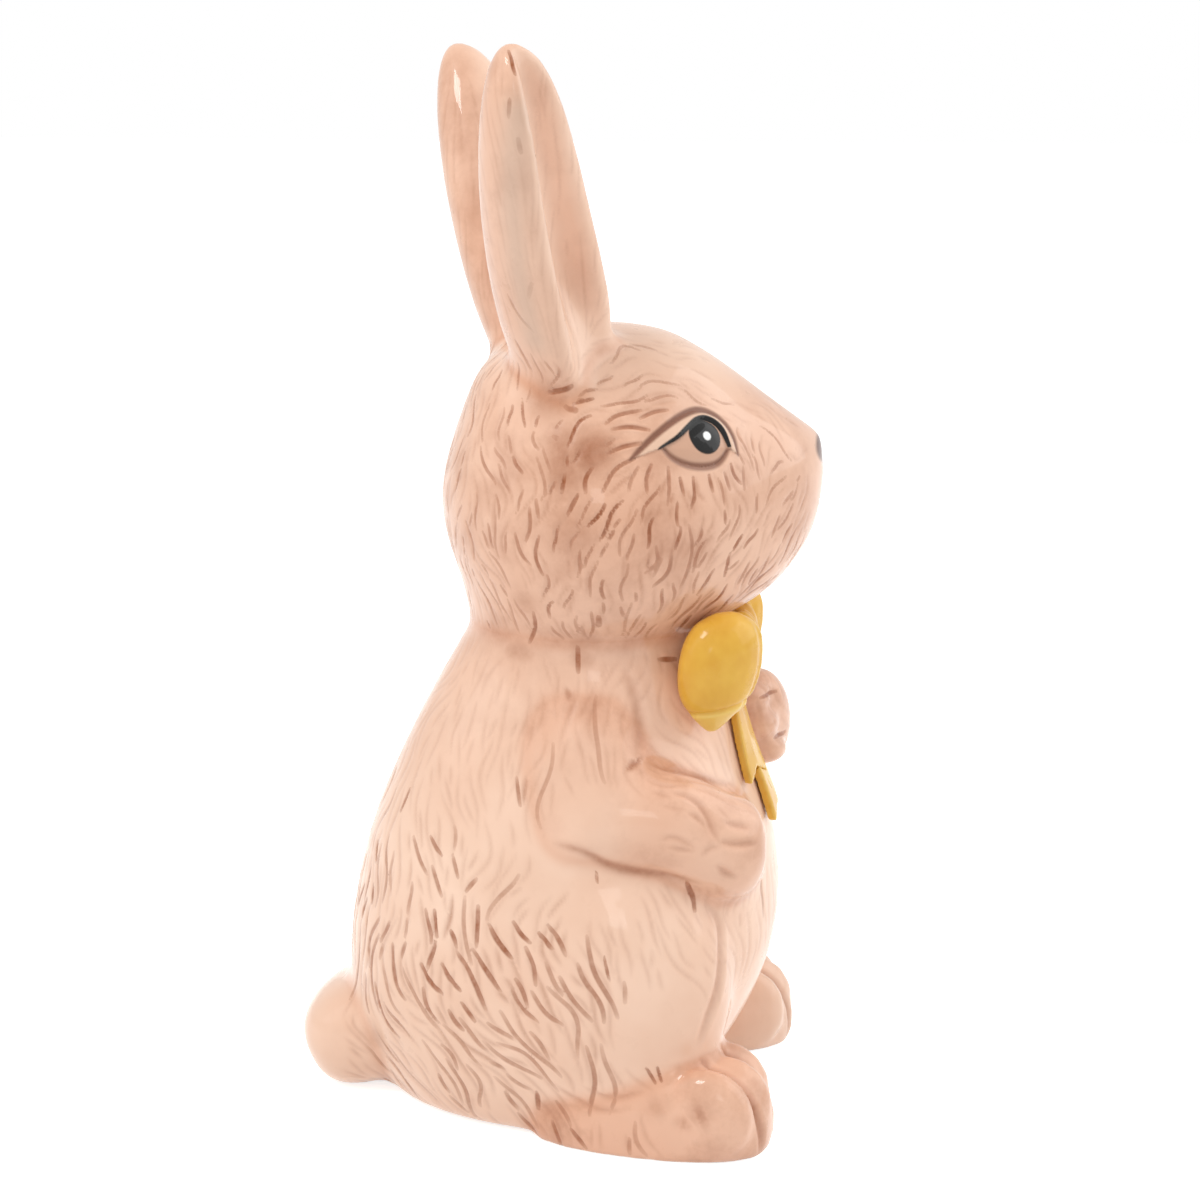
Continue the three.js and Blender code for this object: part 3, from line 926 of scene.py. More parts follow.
@dataclass
class Casting:
    """Slip castings that the glaze joins: one flowing skin, cut back into its pieces at the end."""

    RAYS: ClassVar[int] = 48  # sent from a face to find whether it looks into the hollow
    LIFT: ClassVar[float] = 0.02  # gap from the face to where they start
    GRAZE: ClassVar[float] = 0.08  # flatter ones than this aren't sent
    SHUT: ClassVar[float] = 0.9  # share of them that has to end on a wall
    FAR: ClassVar[float] = 12.0  # beyond this, gaps to a piece aren't told apart

    home: Matrix
    pitch: float = 0.69  # size of the skin's quads
    swell: float = 0.22  # growth by which the pieces meet
    rounds: int = 100  # of softening all over
    fillet: int = 120  # rounds along the joints
    shoulder: int = 320  # rounds where an arm leaves its shoulder
    tuck: float = 1.6  # depth to which open rims are turned in
    drain_back: float = 12.15
    drain_radius: float = 8.0
    drain_depth: float = 14.0
    underside: float = 0.4  # height up to which the drain is cut out
    shoulder_up: tuple[float, float] = (66, 80)  # heights at which a shoulder begins and is full
    shoulder_back: tuple[float, float] = (-26, -12)  # and the same from the front
    hollow: tuple[float, float] = (0.05, 0.9)  # depths at which wash gathers and is full
    gathered: float = 0.75  # wash in a full hollow
    seam_tone: float = 0.4
    seam_width: float = 2.0  # of the deeper tone, on each side of a joint
    melts: dict[str, Melt] = field(
        default_factory=lambda: {
            "body_shell": Melt(1.0, 2.0, 0.3),
            "head_shell": Melt(1.0, 2.0, 0.2),
            "right_ear": Melt(0.3, 5.0, 1.0),
            "left_ear": Melt(0.3, 5.0, 1.0),
            "right_arm": Melt(0.22, 1.8, 0.3),
            "left_arm": Melt(0.22, 1.8, 0.3),
            "right_foot": Melt(0.1, 1.4, 0.25),
            "left_foot": Melt(0.1, 1.4, 0.25),
            "tail": Melt(0.8, 1.6, 0.25),
        }
    )

    def numbers(self, *endings: str) -> list[int]:
        """List the numbers of the pieces whose names end in one of some words."""
        return [i for i, name in enumerate(self.melts) if name.endswith(endings)]

    def outer(self, node: Object, whole: BVHTree) -> Mesh:
        """Copy the outside of a solid, closed over its openings.

        Args:
            node: The solid.
            whole: Search tree of the two hollow solids, in the row frame.

        Returns:
            The closed outside in the working frame, swollen to meet its neighbours.
        """
        shape = opened(node.data)
        bmesh.ops.remove_doubles(shape, verts=shape.verts, dist=MM * MM)
        shape.normal_update()
        if node.name.endswith("_shell"):
            walls = [face for face in shape.faces if self.enclosed(face, whole)]
            bmesh.ops.delete(shape, geom=walls, context="FACES")
            loose = [vert for vert in shape.verts if not vert.link_faces]
            bmesh.ops.delete(shape, geom=loose, context="VERTS")
            rims = [edge for edge in shape.edges if edge.is_boundary]
            bmesh.ops.holes_fill(shape, edges=rims, sides=0)
            lids = [face for face in shape.faces if len(face.verts) > 4]
            bmesh.ops.triangulate(shape, faces=lids)
            bmesh.ops.recalc_face_normals(shape, faces=shape.faces)
        shape.transform(self.home.inverted())
        shape.normal_update()
        for vert in shape.verts:
            vert.co += vert.normal * self.swell
        return written(shape, node.name)

    @staticmethod
    def enclosed(face: bmesh.types.BMFace, whole: BVHTree) -> bool:
        """Test whether a face looks into the hollow.

        Args:
            face: Face of a shell.
            whole: Search tree of the two hollow solids.

        Returns:
            True if nearly every way out of it is closed.
        """
        start = face.calc_center_median() + face.normal * Casting.LIFT * MM
        seen, shut = 0, 0
        for i in range(Casting.RAYS):
            height = 1 - (2 * i + 1) / Casting.RAYS
            ring, turn = math.sqrt(1 - height * height), GOLDEN_ANGLE * i
            way = Vector((ring * math.cos(turn), ring * math.sin(turn), height))
            if way.dot(face.normal) < Casting.GRAZE:
                continue
            seen += 1
            shut += whole.ray_cast(start, way)[0] is not None
        return shut >= Casting.SHUT * seen

    def fuse(self, nodes: dict[str, Object], whole: BVHTree) -> Skin:
        """Melt the pieces into one skin of even quads.

        Args:
            nodes: CAD solids by name.
            whole: Search tree of the two hollow solids.

        Returns:
            The skin.
        """
        parts = [self.outer(nodes[name], whole) for name in self.melts]
        mesh = melted("rabbit", written(opened(*parts), "rabbit"), self.pitch)
        for part in parts:
            bpy.data.meshes.remove(part)
        self.drop_crumbs(mesh)
        skin = Skin(mesh)
        skin.place -= skin.normals() * self.swell
        return skin

    @staticmethod
    def drop_crumbs(mesh: Mesh) -> None:
        """Keep the largest connected part of a mesh.

        Args:
            mesh: Mesh to clean.
        """
        edges = Skin.read(mesh.edges, "vertices", 2, np.int32)
        label = np.arange(len(mesh.vertices))
        while True:
            low = np.minimum(label[edges[:, 0]], label[edges[:, 1]])
            fresh = label.copy()
            np.minimum.at(fresh, edges[:, 0], low)
            np.minimum.at(fresh, edges[:, 1], low)
            fresh = fresh[fresh]
            if (fresh == label).all():
                break
            label = fresh
        keep = np.bincount(label).argmax()
        shape = opened(mesh)
        shape.verts.ensure_lookup_table()
        crumbs = [vert for vert, mark in zip(shape.verts, label) if mark != keep]
        bmesh.ops.delete(shape, geom=crumbs, context="VERTS")
        written(shape, mesh)

    def share_out(self, skin: Skin, nodes: dict[str, Object]) -> None:
        """Find which piece each point belongs to, and how near a joint it is.

        Args:
            skin: The fused skin.
            nodes: CAD solids by name.
        """
        inward = self.home.inverted()
        far = self.FAR
        gaps = np.full((len(skin.place), len(self.melts)), far)
        for column, name in enumerate(self.melts):
            shape = opened(nodes[name].data)
            shape.transform(inward)
            tree = BVHTree.FromBMesh(shape)
            places = np.array([vert.co for vert in shape.verts])
            shape.free()
            low, high = places.min(0) - far / 2, places.max(0) + far / 2
            for i in np.flatnonzero(((skin.place > low) & (skin.place < high)).all(1)):
                gap = tree.find_nearest(skin.place[i], far)[3]
                gaps[i, column] = far if gap is None else gap
        gaps = skin.spread(gaps, 0.5, 12)
        order = np.argsort(gaps, axis=1)
        nearest = np.take_along_axis(gaps, order, axis=1)
        self.owner = order[:, 0]
        self.added = order[:, :2].max(1)
        self.lead = nearest[:, 1] - nearest[:, 0]

    def soften(self, skin: Skin) -> None:
        """Melt the facets away and run fillets along the joints.

        Args:
            skin: The fused skin.
        """
        soft, reach, fillet = np.array([astuple(melt) for melt in self.melts.values()]).T
        skin.ease(0.5 * skin.spread(soft[self.owner], 0.5, 8), self.rounds)
        skin.ease(0.5 * fillet[self.added] * bell(self.lead / reach[self.added], 1), self.fillet)
        arms = self.numbers("arm")
        upper = smooth(*self.shoulder_up, skin.place[:, 2])
        upper = upper * smooth(*self.shoulder_back, skin.place[:, 1])
        beside = np.isin(self.added, arms) * bell(self.lead, 7)
        blend = np.where(np.isin(self.owner, arms), 1, beside)
        skin.ease(0.5 * skin.spread(blend * upper, 0.5, 10), self.shoulder)

    def pool(self, skin: Skin) -> None:
        """Let the wash gather in hollows and the glaze deepen along the joints."""
        skin.stain(self.gathered * smooth(*self.hollow, skin.hollows(24)))
        skin.tone += self.seam_tone * bell(self.lead, self.seam_width)

    def split(self, skin: Skin) -> list[Object]:
        """Cut the skin back into closed pieces.

        Args:
            skin: The carved and painted skin.

        Returns:
            One object per CAD solid, named after it.
        """
        skin.store()
        pieces = []
        for i, name in enumerate(self.melts):
            shape = opened(skin.mesh)
            others = [face for face in shape.faces if self.owner[face.verts[0].index] != i]
            bmesh.ops.delete(shape, geom=others, context="FACES")
            self.close(shape)
            for face in shape.faces:
                face.smooth = True
            if name == "body_shell":
                self.drain(shape)
            shape.transform(self.home)
            mesh = written(shape, name)
            facing = Skin.read(mesh.attributes["facing"].data, "vector", 3)
            mesh.attributes.remove(mesh.attributes["facing"])
            mesh.normals_split_custom_set_from_vertices(facing)
            pieces.append(linked(f"{name}_glazed", mesh))
        bpy.data.meshes.remove(skin.mesh)
        return pieces

    def close(self, shape: bmesh.types.BMesh) -> None:
        """Tuck the open rims of a piece inwards and close them there.

        Args:
            shape: Piece cut out of the skin.
        """
        facing = shape.verts.layers.float_vector["facing"]
        rims = [edge for edge in shape.edges if edge.is_boundary]
        made = bmesh.ops.extrude_edge_only(shape, edges=rims)["geom"]
        for vert in (item for item in made if isinstance(item, bmesh.types.BMVert)):
            vert.co -= vert[facing] * self.tuck
        edges = [item for item in made if isinstance(item, bmesh.types.BMEdge)]
        tucked = [edge for edge in edges if edge.is_boundary]
        bmesh.ops.holes_fill(shape, edges=tucked, sides=0)
        bmesh.ops.recalc_face_normals(shape, faces=shape.faces)

    def drain(self, shape: bmesh.types.BMesh) -> None:
        """Sink the round hole in the base.

        Args:
            shape: The body in the working frame.
        """
        axis = Vector((0, self.drain_back, 0))

        def within(face: bmesh.types.BMFace) -> bool:
            """Test that a face of the base lies in the hole."""
            return all(
                vert.co.z < self.underside and (vert.co - axis).xy.length < self.drain_radius
                for vert in face.verts
            )

        cover = [face for face in shape.faces if within(face)]
        marked = set(cover)
        rim = [
            edge
            for edge in {edge for face in cover for edge in face.edges}
            if any(face not in marked for face in edge.link_faces)
        ]
        mouth = {vert for edge in rim for vert in edge.verts}
        for vert in mouth:
            flat = (vert.co - axis).xy.normalized() * self.drain_radius
            vert.co = axis + Vector((flat.x, flat.y, vert.co.z))
        made = bmesh.ops.extrude_face_region(shape, geom=cover)["geom"]
        raised = [item for item in made if isinstance(item, bmesh.types.BMVert)]
        bmesh.ops.translate(shape, verts=raised, vec=(0, 0, self.drain_depth))
        facing = shape.verts.layers.float_vector["facing"]
        for vert in (*mouth, *raised):
            vert[facing] = Vector()
        bmesh.ops.delete(shape, geom=cover, context="FACES_ONLY")
        bmesh.ops.recalc_face_normals(shape, faces=shape.faces)


@dataclass
class BodyCoat:
    """Fur, toes, fingers and colours of the torso, arms, feet and tail."""

    faint: float = 0.65  # lines with no more wash than this have soft edges
    broad: float = 1.0  # lines from this half width on are creases and smudges
    bottom: float = 1.5  # height up to which the base stays smooth
    rump: float = 58.0  # the tail lies behind this
    toes: tuple[float, float] = (-36, 24)  # the toes lie before and below this
    shoulder_tint: float = 0.25
    haunch_tint: float = 0.14
    foot_tint: float = 0.6
    arm_tint: float = 0.45
    tail_tint: float = 0.06
    # brown wash just below the head, partly painted shade under its overhang
    belly_fade: float = 0.1  # tone that is missing in front
    neck_wash_and_shade: float = 0.16
    blur: int = 30  # rounds that blend the limbs' tints into the body's
    base: Colour = linear(232, 214, 196)
    lies: Sequence[Lie] = tuple(
        Lie(*row)
        for row in (
            (-20, 110, -97, 1, 0.15), (-30, 92, -108, 1, 0.18), (-10, 98, -97, 1, 0.15),
            (-13, 84, -95, 0.9, 0.18), (-40, 76, -108, 1, 0.3), (-29, 70, -72, 1, 0.5),
            (-36, 62, -72, 1, 0.5), (-39, 55, -80, 1, 0.5), (-26, 59, -95, 1, 0.55),
            (-13, 66, -88, 0.4, 0.2), (-6, 76, -90, 0.15, 0.15), (-5, 62, -88, 0.2, 0.2),
            (-30, 49, -98, 1, 0.75), (-32, 40, -65, 1, 0.95), (-26, 41, -75, 1, 0.95),
            (-22, 38, -65, 1, 0.95), (-15, 50, -60, 1, 1.0), (-9, 52, -70, 1, 1.0),
            (-3, 51, -75, 1, 0.9), (-6, 45, -92, 1, 0.8), (3, 42, -62, 1, 0.8),
            (-12, 33, -55, 1, 0.9), (-23, 31, -60, 1, 0.8), (-36, 23, -50, 1, 0.5),
            (-44, 13, -55, 1, 0.4), (-29, 10, -45, 1, 0.45), (-19, 8, -40, 1, 0.5),
            (-5, 30, -60, 0.9, 0.55), (3, 29, -70, 0.6, 0.35), (17, 53, -80, 0.7, 0.3),
            (25, 56, -80, 0.7, 0.25), (30, 48, -95, 0.6, 0.2), (10, 47, -70, 0.3, 0.4),
            (-47, 44, -88, 1, 0.55), (-50, 30, -85, 1, 0.45), (-55, 50, -90, 1, 0.5),
            (2, 99, -85, 0.9, 0.25), (14, 100, -80, 0.9, 0.25), (20, 101, -85, 0.9, 0.2),
            (30, 88, -65, 0.8, 0.15), (7, 67, -80, 0.05, 0.2), (19, 39, -80, 0, 0.2),
            (15, 31, -80, 0, 0.2), (-1, 68, -85, 0.1, 0.2), (-11, 73, -88, 0.35, 0.25),
            (2, 90, -85, 0.3, 0.2), (9, 88, -70, 0.1, 0.2), (8, 78, -60, 0.05, 0.2),
            (12, 64, -80, 0.05, 0.2), (20, 82, -30, 0.2, 0.2), (25, 76, -25, 0.25, 0.2),
            (34, 72, -25, 0.15, 0.2), (-6, 8, -75, 0.7, 0.5), (11, 13, -60, 0.5, 0.3),
            (30, 14, -10, 0.2, 0.2), (45, 40, -90, 0.25, 0.15), (42, 65, -90, 0.3, 0.15),
        )
    )
    haunch: Sequence[Tooled] = (
        Tooled(((-41.9, 17.1, 53.4), (-42.6, 15.3, 50.2), (-43.7, 11.7, 46.4)), 0.8, 0.5, 1),
        Tooled(((-41.4, 21.1, 47.3), (-42.6, 17.9, 43.0), (-43.5, 14.4, 38.2)), 0.8, 0.5, 0.9),
        Tooled(((-40.0, 25.2, 46.2), (-41.6, 21.5, 41.6), (-42.6, 18.0, 33.2)), 0.8, 0.5, 0.9),
        Tooled(((-38.9, 28.9, 42.5), (-39.9, 26.6, 38.9), (-40.7, 24.3, 37.1)), 0.8, 0.5, 0.95),
        Tooled(((-36.1, 34.3, 41.2), (-37.3, 32.4, 37.6), (-39.0, 29.0, 35.3)), 0.85, 0.55, 1),
        Tooled(((-42.9, 11.4, 54.9), (-43.6, 9.6, 52.2), (-43.9, 7.4, 50.6)), 0.7, 0.45, 0.9),
        Tooled(((-44.0, 8.3, 49.3), (-45.3, 6.4, 45.5), (-45.8, 5.9, 41.3)), 0.75, 0.45, 0.8),
        Tooled(((-43.9, 5.3, 52.9), (-45.7, 2.1, 49.8)), 0.75, 0.45, 0.9),
        Tooled(((-44.0, 3.2, 54.8), (-45.4, 0.4, 51.9), (-46.4, -1.0, 48.9)), 0.75, 0.45, 0.8),
        Tooled(((-46.9, 0.2, 43.7), (-47.5, -2.4, 38.8), (-47.6, -7.4, 33.8)), 0.75, 0.45, 0.7),
        Tooled(((-44.0, 11.7, 39.4), (-44.7, 9.9, 35.3), (-45.9, 5.5, 32.4)), 0.75, 0.45, 0.8),
        Tooled(((-45.7, 6.8, 39.4), (-46.5, 3.7, 34.6), (-47.1, -0.6, 32.3)), 0.75, 0.45, 0.7),
        Tooled(((-40.8, 23.9, 34.0), (-41.6, 20.8, 30.0)), 0.7, 0.4, 0.85),
        Tooled(((-31.4, 32.7, 70.6), (-33.0, 31.1, 68.5), (-34.2, 29.5, 67.1)), 0.7, 0.4, 0.8),
        Tooled(((-33.8, 31.8, 64.2), (-35.6, 30.2, 60.4), (-36.7, 29.2, 58.2)), 0.7, 0.4, 0.75),
        Tooled(((-28.2, 37.3, 69.4), (-31.2, 35.4, 65.0), (-33.5, 33.2, 62.3)), 0.7, 0.4, 0.7),
        Tooled(((-35.7, 26.7, 67.7), (-37.5, 25.1, 63.1)), 0.65, 0.35, 0.7),
        Tooled(((-37.9, 26.3, 58.7), (-38.6, 26.7, 53.6), (-38.5, 28.5, 48.6)), 0.7, 0.4, 0.65),
        Tooled(((-21.2, 39.5, 78.9), (-21.7, 41.6, 73.5)), 0.6, 0.35, 0.8),
        Tooled(((-34.4, 11.7, 86.4), (-36.7, 10.5, 80.6)), 0.65, 0.35, 0.75),
        Tooled(((-34.9, 9.1, 86.7), (-36.8, 9.7, 81.1)), 0.65, 0.35, 0.6),
        Tooled(((-41.2, -7.4, 67.0), (-41.7, -7.6, 64.6)), 0.45, 0.3, 0.95),
        Tooled(((-46.6, -9.8, 48.9), (-47.0, -11.1, 43.5)), 0.5, 0.3, 0.8),
    )
    folds: Sequence[Tooled] = (
        Tooled(
            ((-32.3, -30.9, 57.7), (-30.0, -34.1, 52.6), (-32.6, -35.2, 46.5), (-35.6, -34.7, 38.6),
             (-38.3, -32.5, 32.4), (-38.7, -30.5, 26.2)),
            1.3, 0.8, 0.45,
        ),
        Tooled(
            ((-38.0, -31.0, 22), (-40.0, -38.4, 19), (-41.2, -44.2, 12), (-41.4, -46.4, 5),
             (-41.4, -46.6, 1)),
            1.0, 1.1, 0.75,
        ),
        Tooled(
            ((-28.9, -32.2, 22), (-30.0, -40.1, 19), (-30.8, -46.1, 12), (-31.1, -48.0, 5),
             (-31.1, -48, 1)),
            1.0, 1.1, 0.65,
        ),
        Tooled(((-47.8, -30.8, 12.2), (-48.2, -33.2, 13.4)), 3.2, 0.3, 0.6),
        Tooled(((-47.2, -27.2, 10.4), (-47.4, -28.6, 10.0)), 1.8, 0.2, 0.45),
        Tooled(((-45.6, -20.2, 12.2), (-46.6, -23.2, 14.4)), 3.0, 0.0, 0.3),
        Tooled(
            ((11.3, -40.4, 95.3), (15.0, -42.1, 95.4), (19.5, -43.4, 95.0)),
            0.7, 0.6, 0.9, False,
        ),
        Tooled(
            ((14.9, -42.7, 84.4), (20.7, -44.3, 83.9), (22.6, -45.6, 84.2)),
            0.7, 0.6, 0.9, False,
        ),
        Tooled(((-22.6, 49.0, 20.0), (-22.2, 47.4, 13.5)), 3.2, 0.0, 0.4),
        Tooled(((-22.5, 16.0, 113.6), (-26.0, 8.4, 113.2)), 2.6, 0.0, 0.45),
        Tooled(((-27.4, 0.6, 113.4), (-26.9, -5.6, 112.6)), 2.4, 0.0, 0.4),
        Tooled(((-40.6, 6.5, 13.2), (-38.9, 6.3, 8.8)), 0.8, 0.4, 0.85),
        Tooled(((-40.6, 3.0, 6.1), (-41.1, 0.8, 0.5)), 0.7, 0.4, 0.8),
        Tooled(((-42.6, -1.6, 5.4), (-43.3, -5.1, 1.4)), 0.7, 0.4, 0.8),
        Tooled(((-43.8, -19.2, 21.8), (-43.0, -21.2, 18.0)), 0.5, 0.35, 0.85),
        Tooled(((-43.1, -21.7, 21.6), (-42.7, -22.5, 18.4)), 0.5, 0.35, 0.85),
        Tooled(((-44.4, -5.3, 16.3), (-43.8, -11.2, 13.7), (-44.2, -18.8, 16.1)), 0.8, 0.3, 0.3),
        Tooled(
            ((-43.5, 2.6, 16.4), (-42.7, -1.6, 13.6), (-44.1, -7.8, 10.9),
             (-45.1, -14.7, 11.8)),
            0.8, 0.3, 0.35,
        ),
        Tooled(((-29.7, 1.0, 106.1), (-30.2, -0.1, 103.9)), 0.8, 0.25, 0.6),
        Tooled(((-27.5, -1.3, 116.1), (-28.7, -1.5, 110.2)), 0.8, 0.3, 0.95),
        Tooled(((-21.4, -19.3, 111.9), (-18.2, -22.7, 111.3)), 0.8, 0.3, 0.85),
        Tooled(
            ((-38.8, -24.3, 85.5), (-37.7, -27.4, 84.8), (-37.5, -30.2, 82.7), (-38.3, -32.1, 80.2),
             (-38.8, -32.9, 78.0), (-38.9, -33.8, 76.2), (-38.8, -35.0, 74.5)),
            0.8, 0.6, 0.4, False,
        ),
        Tooled(
            ((-38.8, -35.0, 74.5), (-37.2, -38.1, 73.4), (-35.0, -40.6, 73.1),
             (-32.8, -42.8, 72.7)),
            0.95, 0.7, 0.36, False,
        ),
        Tooled(
            ((-36.5, -36.1, 78.4), (-35.3, -38.3, 77.4), (-33.3, -40.9, 76.4)),
            0.95, 0.7, 0.34, False,
        ),
        Tooled(
            ((-38.9, -34.8, 68.6), (-37.4, -36.3, 66.5), (-36.3, -38.1, 65.5)),
            0.95, 0.7, 0.38, False,
        ),
        Tooled(
            ((-40.4, -31.3, 71.3), (-40.1, -32.4, 73.1), (-38.9, -35.0, 73.4)),
            0.7, 0.35, 0.22, False,
        ),
        Tooled(
            ((-42.8, -22.1, 75.4), (-42.3, -24.8, 76.4), (-41.5, -27.5, 74.8),
             (-40.9, -29.2, 73.7)),
            0.7, 0.35, 0.25, False,
        ),
        Tooled(
            ((-42.3, -23.9, 73.7), (-41.6, -26.6, 73.1), (-40.9, -29.2, 72.8)),
            0.7, 0.35, 0.25, False,
        ),
        Tooled(
            ((-40.0, -28.2, 81.3), (-39.5, -30.4, 79.8), (-39.4, -31.3, 78.6)),
            0.7, 0.4, 0.35, False,
        ),
        # carved crease under the forearm; its wide brown wash is partly painted shade under the arm
        Tooled(
            ((-42.3, 1.9, 73.5), (-44.8, -4.4, 72.5), (-40.0, -10.7, 68.8), (-38.7, -17.5, 67.2),
             (-38.5, -24.4, 66.0), (-37.8, -30.4, 64.2)),
            1.3, 0.3, 0.75, False,
        ),
        Tooled(
            ((-37.5, -14.1, 90.2), (-34.7, -15.6, 91.4), (-33.0, -16.5, 91.9)),
            1.0, 0.5, 0.95, False,
        ),
        Tooled(
            ((-33.7, -16.6, 91.1), (-31.4, -23.5, 88.3), (-22.3, -30.6, 83.6),
             (-15.4, -36.1, 80.9)),
            1.1, 0.2, 0.55, False,
        ),
        Tooled(
            ((-26.2, -11.7, 110.9), (-26.6, -13.6, 106.3), (-27.6, -15.4, 100.4),
             (-29.3, -15.6, 95.1), (-34.4, -15.5, 91.7)),
            1.4, 0.5, 0.4, False,
        ),
        Tooled(
            ((-37.8, -27.4, 64.5), (-34.1, -28.2, 60.4), (-35.7, -29.3, 57.1)),
            0.8, 0.4, 0.95, False,
        ),
    )

    def bare(self, place: Vector) -> bool:
        """Keep the base, the tail and the fronts of the feet smooth."""
        front, top = self.toes
        head, base = place.z > HEAD_SEAT - 1, place.z < self.bottom
        tail, toes = place.y > self.rump, place.y < front and place.z < top
        return head or base or tail or toes

    def carve(self, skin: Skin) -> None:
        """Cut the fur, fingers and toes, and leave the wash.

        Args:
            skin: The softened skin.
        """
        tree = skin.tree()
        soft, fine, bold = Grooves(), Grooves(), Grooves.inked()
        for line in (*self.haunch, *self.folds):
            narrow = fine if line.wash <= self.faint else bold
            line.lay(tree, Matrix(), narrow if line.width < self.broad else soft)
        under = Fur(
            self.lies, Matrix(), seed=11, tries=32000, spacing=2.1, lengths=(10, 30),
            width=0.6, depth=0.34, wash=0.5,
        )
        over = Fur(
            self.lies, Matrix(), seed=12, tries=22000, spacing=2.5, lengths=(10, 22),
            width=0.72, depth=0.6, wash=1.15, pick=3,
        )
        for fur, grooves in ((under, fine), (over, bold)):
            log.info("body strokes: %d", fur.comb(skin, self.bare, grooves))
        soft.cut(skin, 8)
        fine.cut(skin)
        bold.cut(skin)
        skin.place[:, 2] = np.maximum(skin.place[:, 2], 0)

    def colour(self, skin: Skin, casting: Casting) -> None:
        """Tint the shoulders, haunches, arms, feet and tail, and leave the base unglazed.

        Args:
            skin: The carved skin.
            casting: The castings under it.
        """
        place = skin.place
        x, y, z = place.T
        below = z < HEAD_SEAT
        # Painted light: the foot tint fades out towards the left, far foot, which stays paler to
        # make up for the shade it stands in.
        feet = np.isin(casting.owner, casting.numbers("foot")) * smooth(20, -30, x)
        arms = np.isin(casting.owner, casting.numbers("arm")) * smooth(-8, -20, y)
        tail = np.isin(casting.owner, casting.numbers("tail")).astype(float)
        haunch = bell(y - 12, 18) * bell(z - 40, 16)
        tint = self.shoulder_tint * smooth(60, 112, z) + self.haunch_tint * haunch
        skin.tone += np.where(below, tint, 0)
        limbs = ((self.foot_tint, feet), (self.arm_tint, arms), (self.tail_tint, tail))
        for strength, limb in limbs:
            skin.tone += strength * skin.spread(limb, 0.5, self.blur)
        skin.tone -= self.belly_fade * smooth(10, 40, -y)
        # Brown band just below the head: partly wash, partly painted shade in the neck crease.
        skin.stain(np.where(below, self.neck_wash_and_shade * bell(z - HEAD_SEAT, 6), 0))
        skin.brush(smooth(0.5, 0.12, z), self.base)


